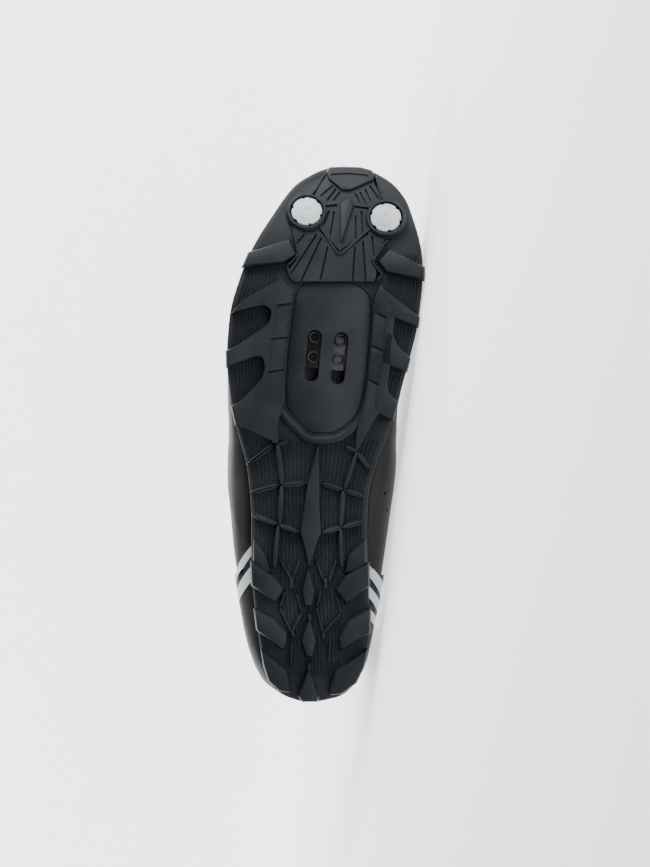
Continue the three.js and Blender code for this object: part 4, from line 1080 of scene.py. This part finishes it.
def side_line(rows):
    line = curve_through(rows, lambda row: row[1] * mm)
    return lambda s: line(s) if rows[0][0] <= s <= rows[-1][0] else 0


toe_line = side_line([(0.79, 12), (0.815, 28), (0.85, 42), (0.9, 52), (0.95, 56), (1.05, 57)])
heel_line = side_line([(-0.08, 74), (0.05, 71), (0.11, 62), (0.18, 52), (0.225, 38), (0.245, 25)])
overlay_rubber = moulded_material("overlay_rubber", (0.008, 0.008, 0.009), (0.015, 0.015, 0.0165),
                                  (0.36, 0.48), 1100, 0.12)
fine_count = 200
fine_ribs = all_ribs(fine_count)
toe_cap = layer_on_skin("toe_cap_layer", [rib for rib in fine_ribs if rib.s > 0.77], toe_line, 1.2 * mm)
settle(toe_cap, overlay_rubber, angle=40, replaces=("toe_cap",))
heel_ribs = [rib for rib in fine_ribs[fine_count:-1] + fine_ribs[:fine_count] if rib.s < 0.27]
heel_counter = layer_on_skin("heel_counter_layer", heel_ribs, heel_line, 1.2 * mm)
settle(heel_counter, overlay_rubber, angle=40, replaces=("heel_counter",))

# Side bands
# A thin coated band runs low along each side, bonded over the lasting seam; the medial one stays under the
# vent holes.
bands = []
for side, height in ((1, 0.93), (-1, 1.27)):
    def band_place(row, column):
        s = blend(0.3, 0.78, row / 70)
        up = math.sin(math.pi * row / 70) ** 0.7
        rib = Rib(s, side)
        return rib.at(*skin(rib, blend(1.47, blend(1.44, height, up), column / 12), 0.05 * mm))
    band = shaped_grid("side_band", 70, 12, band_place)
    modify(band, "SOLIDIFY", thickness=0.55 * mm, offset=1 if side > 0 else -1)
    bands.append(band)
settle(joined(bands, "side_bands"), overlay_rubber, angle=40)

# Throat stays
# A thin coated stay is stitched round the throat's edge, to hold its shape under the straps.


def drape(across, s, lift):
    """A place a little above the upper's top, straight over a place in plan."""
    above = Vector((across - centre_of(s), s * sole_length, 0.3))
    place, normal = upper_tree.ray_cast(above, Vector((0, 0, -1)))[:2]
    return place + normal * lift


def throat_edge(s, wider):
    past = max(s - 0.69, 0) * sole_length
    return math.sqrt(max((throat_half(min(s, 0.69)) + wider) ** 2 - past ** 2, 0))


stay_end = 0.69 + (throat_half(0.69) + 8.8 * mm) / sole_length
stays = []
for side in (1, -1):
    def stay_place(row, column):
        s = blend(0.415, stay_end, 1 - (1 - row / 60) ** 1.6)
        aside = blend(max(throat_edge(s, 0.5 * mm), 0.01 * mm), throat_edge(s, 9 * mm), column / 8)
        return drape(side * aside, s, 0.05 * mm)
    stays.append(shaped_grid("stay", 60, 8, stay_place))
    modify(stays[-1], "SOLIDIFY", thickness=0.3 * mm, offset=side)
settle(joined(stays, "throat_stays"), overlay_rubber, angle=40)

# Tongue
# Padded mesh cloth under the throat, sewn in at its front end.


def across_ridge(name, rows, columns, s_range, half, grow, taper=0.0):
    """A sheet across the ridge, from the medial to the lateral side."""
    def place(row, column):
        spine = blend(s_range[0], s_range[1], row / rows)
        share = 2 * column / columns - 1
        rib = Rib((spine - 0.12) / 0.74, 1 if share >= 0 else -1)
        widest = skin(rib, 1)[0]
        wanted = abs(share) * half(spine)
        turn = 1 - math.acos(min(wanted / widest, 1) ** (box_of(rib.s) / 2)) / (math.pi / 2)
        return rib.at(*skin(rib, turn, grow(share, row / rows)))
    return shaped_grid(name, rows, columns, place)


def tongue_half(s):
    width = blend(27, 21.6, (s - 0.365) / 0.295) * mm
    return width * math.sqrt(max(0.04, 1 - max(0, (0.385 - s) / 0.02) ** 2))


tongue = across_ridge("tongue_pad", 60, 40, (0.366, 0.76), tongue_half,
                      lambda share, way: -(wall + gap + 0.4 * mm + 1.2 * mm * share ** 6))
modify(tongue, "SOLIDIFY", thickness=3.6 * mm, offset=1)
round_edges(tongue, 1.4 * mm, segments=3, angle=50)
tongue_cloth = moulded_material("tongue_cloth", (0.01, 0.01, 0.0108), (0.02, 0.02, 0.021),
                                (0.8, 0.95), 1600, 0.5)
settle(tongue, tongue_cloth, angle=50, replaces=("tongue",))

# Straps
# Three woven straps sewn down on the medial side, drawn over the tongue and pressed down on the lateral side.
strap_cloth = moulded_material("strap_cloth", (0.01, 0.01, 0.0115), (0.022, 0.022, 0.024),
                               (0.65, 0.8), 1300, 0.35)
for name, spine, ends in (("strap_front", 0.66, (0.5, 0.74)), ("strap_middle", 0.565, (0.48, 0.76)),
                          ("strap_top", 0.465, (0.46, 0.78))):
    half = 10.5 * mm / sole_length
    rows, columns = 10, 60

    def strap_place(row, column):
        share = blend(-ends[0], ends[1], column / columns)
        across = 2 * row / rows - 1
        tip = ease(share, ends[1] - 0.08, ends[1])
        rib = Rib((spine + half * across * (1 - 0.35 * tip * tip) - 0.12) / 0.74, 1 if share >= 0 else -1)
        return rib.at(*skin(rib, abs(share), gap))
    strap = shaped_grid(name + "_web", rows, columns, strap_place)
    modify(strap, "SOLIDIFY", thickness=2 * mm, offset=1)
    round_edges(strap, 0.5 * mm, angle=50)
    settle(strap, strap_cloth, angle=40, replaces=(name,))

# Reflective stripes
# Silver heat-printed stripes slant back over the heel's sides, two outside and three inside, on counter and
# upper.
stripe_rows = [  # side, front and back at the sole's edge, front and back at the widest line
    (1, 0.291, 0.273, 0.248, 0.226), (1, 0.254, 0.226, 0.214, 0.195),
    (-1, 0.257, 0.234, 0.226, 0.199), (-1, 0.216, 0.193, 0.189, 0.167), (-1, 0.172, 0.151, 0.157, 0.139),
]


def proud(rib, turn, grow, lift):
    """A place above the skin, square to it."""
    up = Vector(skin(rib, turn - 0.01)) - Vector(skin(rib, turn + 0.01))
    outward = Vector((up.y, -up.x)).normalized()
    return rib.at(*(Vector(skin(rib, turn, grow)) + outward * lift))


def print_place(rib, turn):
    """A place on the upper, or on the counter where it lies over the upper, with a soft step between them."""
    point = rib.at(*skin(rib, turn, gap))
    s = point.y / sole_length
    on_counter = ease(heel_line(s) - point.z, -1.2 * mm, 0.2 * mm) * (1 - ease(s, 0.246, 0.251))
    return proud(rib, turn, on_counter * gap, (0.12 + 1.28 * on_counter) * mm)


stripes = []
for side, sole_front, sole_back, wide_front, wide_back in stripe_rows:
    guide = Rib(wide_front, side)
    low, wide = skin(guide, 1.5)[1], skin(guide, 1)[1]
    stripe_top = max(0.74, top_turn(Rib(wide_front - 0.06, side)) + 0.14)

    def stripe_place(row, column):
        turn = blend(1.47, stripe_top, column / 90)
        climb = (1.5 - turn) / 0.5 if turn > 1 else 1 + 0.5 * (skin(guide, turn)[1] - wide) / (wide - low)
        front, back = blend(sole_front, wide_front, climb), blend(sole_back, wide_back, climb)
        return print_place(Rib(max(blend(front, back, row / 16), 0), side), turn)
    stripe = shaped_grid("stripe", 16, 90, stripe_place)
    modify(stripe, "SOLIDIFY", thickness=0.2 * mm, offset=0)
    stripes.append(stripe)
silver_print = moulded_material("silver_print", (0.5, 0.54, 0.57), (0.58, 0.62, 0.65), (0.4, 0.5), 900, 0.1)
settle(joined(stripes, "reflective_stripes"), silver_print, angle=40)

# Stitching
# Black bonded thread in lockstitch runs round the collar, along the throat stays and in a box on each strap's
# sewn end.
deselect()
bpy.ops.mesh.primitive_uv_sphere_add(segments=8, ring_count=5, radius=1)
first_stitch = bpy.context.object
for vertex in first_stitch.data.vertices:
    vertex.co = (vertex.co.x * 0.3 * mm, vertex.co.y * 0.3 * mm, vertex.co.z * 1.15 * mm)
stitches = []


def sew(path, pitch=3.1 * mm):
    """Copies of the stitch at even steps along a path."""
    left = pitch / 2
    for a, b in zip(path, path[1:]):
        length = (b - a).length
        while left < length:
            stitch = first_stitch.copy()
            stitch.data = first_stitch.data.copy()
            stitch.data.transform(Matrix.Translation(a.lerp(b, left / length))
                                  @ (b - a).to_track_quat("Z", "Y").to_matrix().to_4x4())
            bpy.context.collection.objects.link(stitch)
            stitches.append(stitch)
            left += pitch
        left -= length


def under_rim(rib, distance):
    """A place on the outside of the collar, a distance below its rim."""
    turn = top_turn(rib)
    rim = Vector(skin(rib, turn))
    while (Vector(skin(rib, turn)) - rim).length < distance:
        turn += 0.002
    return proud(rib, turn, 0, 0.1 * mm)


sew([under_rim(rib, 5 * mm) for rib in back_round])
for side in (1, -1):
    for wider in (1.8 * mm, 7.6 * mm):
        end = 0.69 + (throat_half(0.69) + wider) / sole_length - 0.0005
        sew([drape(side * throat_edge(s, wider), s, 0.4 * mm)
             for s in (blend(0.43, end, 1 - (1 - i / 60) ** 1.6) for i in range(61))])
for spine, end in ((0.66, 0.5), (0.565, 0.48), (0.465, 0.46)):
    box = [(spine + across * 8.3 * mm / sole_length, share) for across, share in
           ((-1, end - 0.02), (1, end - 0.02), (1, end - 0.1), (-1, end - 0.1), (-1, end - 0.02),
            (1, end - 0.1))]
    for (s0, turn0), (s1, turn1) in zip(box, box[1:]):
        path = []
        for i in range(9):
            rib = Rib((blend(s0, s1, i / 8) - 0.12) / 0.74, -1)
            path.append(proud(rib, blend(turn0, turn1, i / 8), gap, 2.1 * mm))
        sew(path, 2.6 * mm)
deselect()
first_stitch.select_set(True)
bpy.ops.object.delete()
thread = moulded_material("bonded_thread", (0.02, 0.02, 0.022), (0.035, 0.035, 0.038), (0.5, 0.65), 2000, 0.3)
settle(joined(stitches, "stitching"), thread, angle=60)
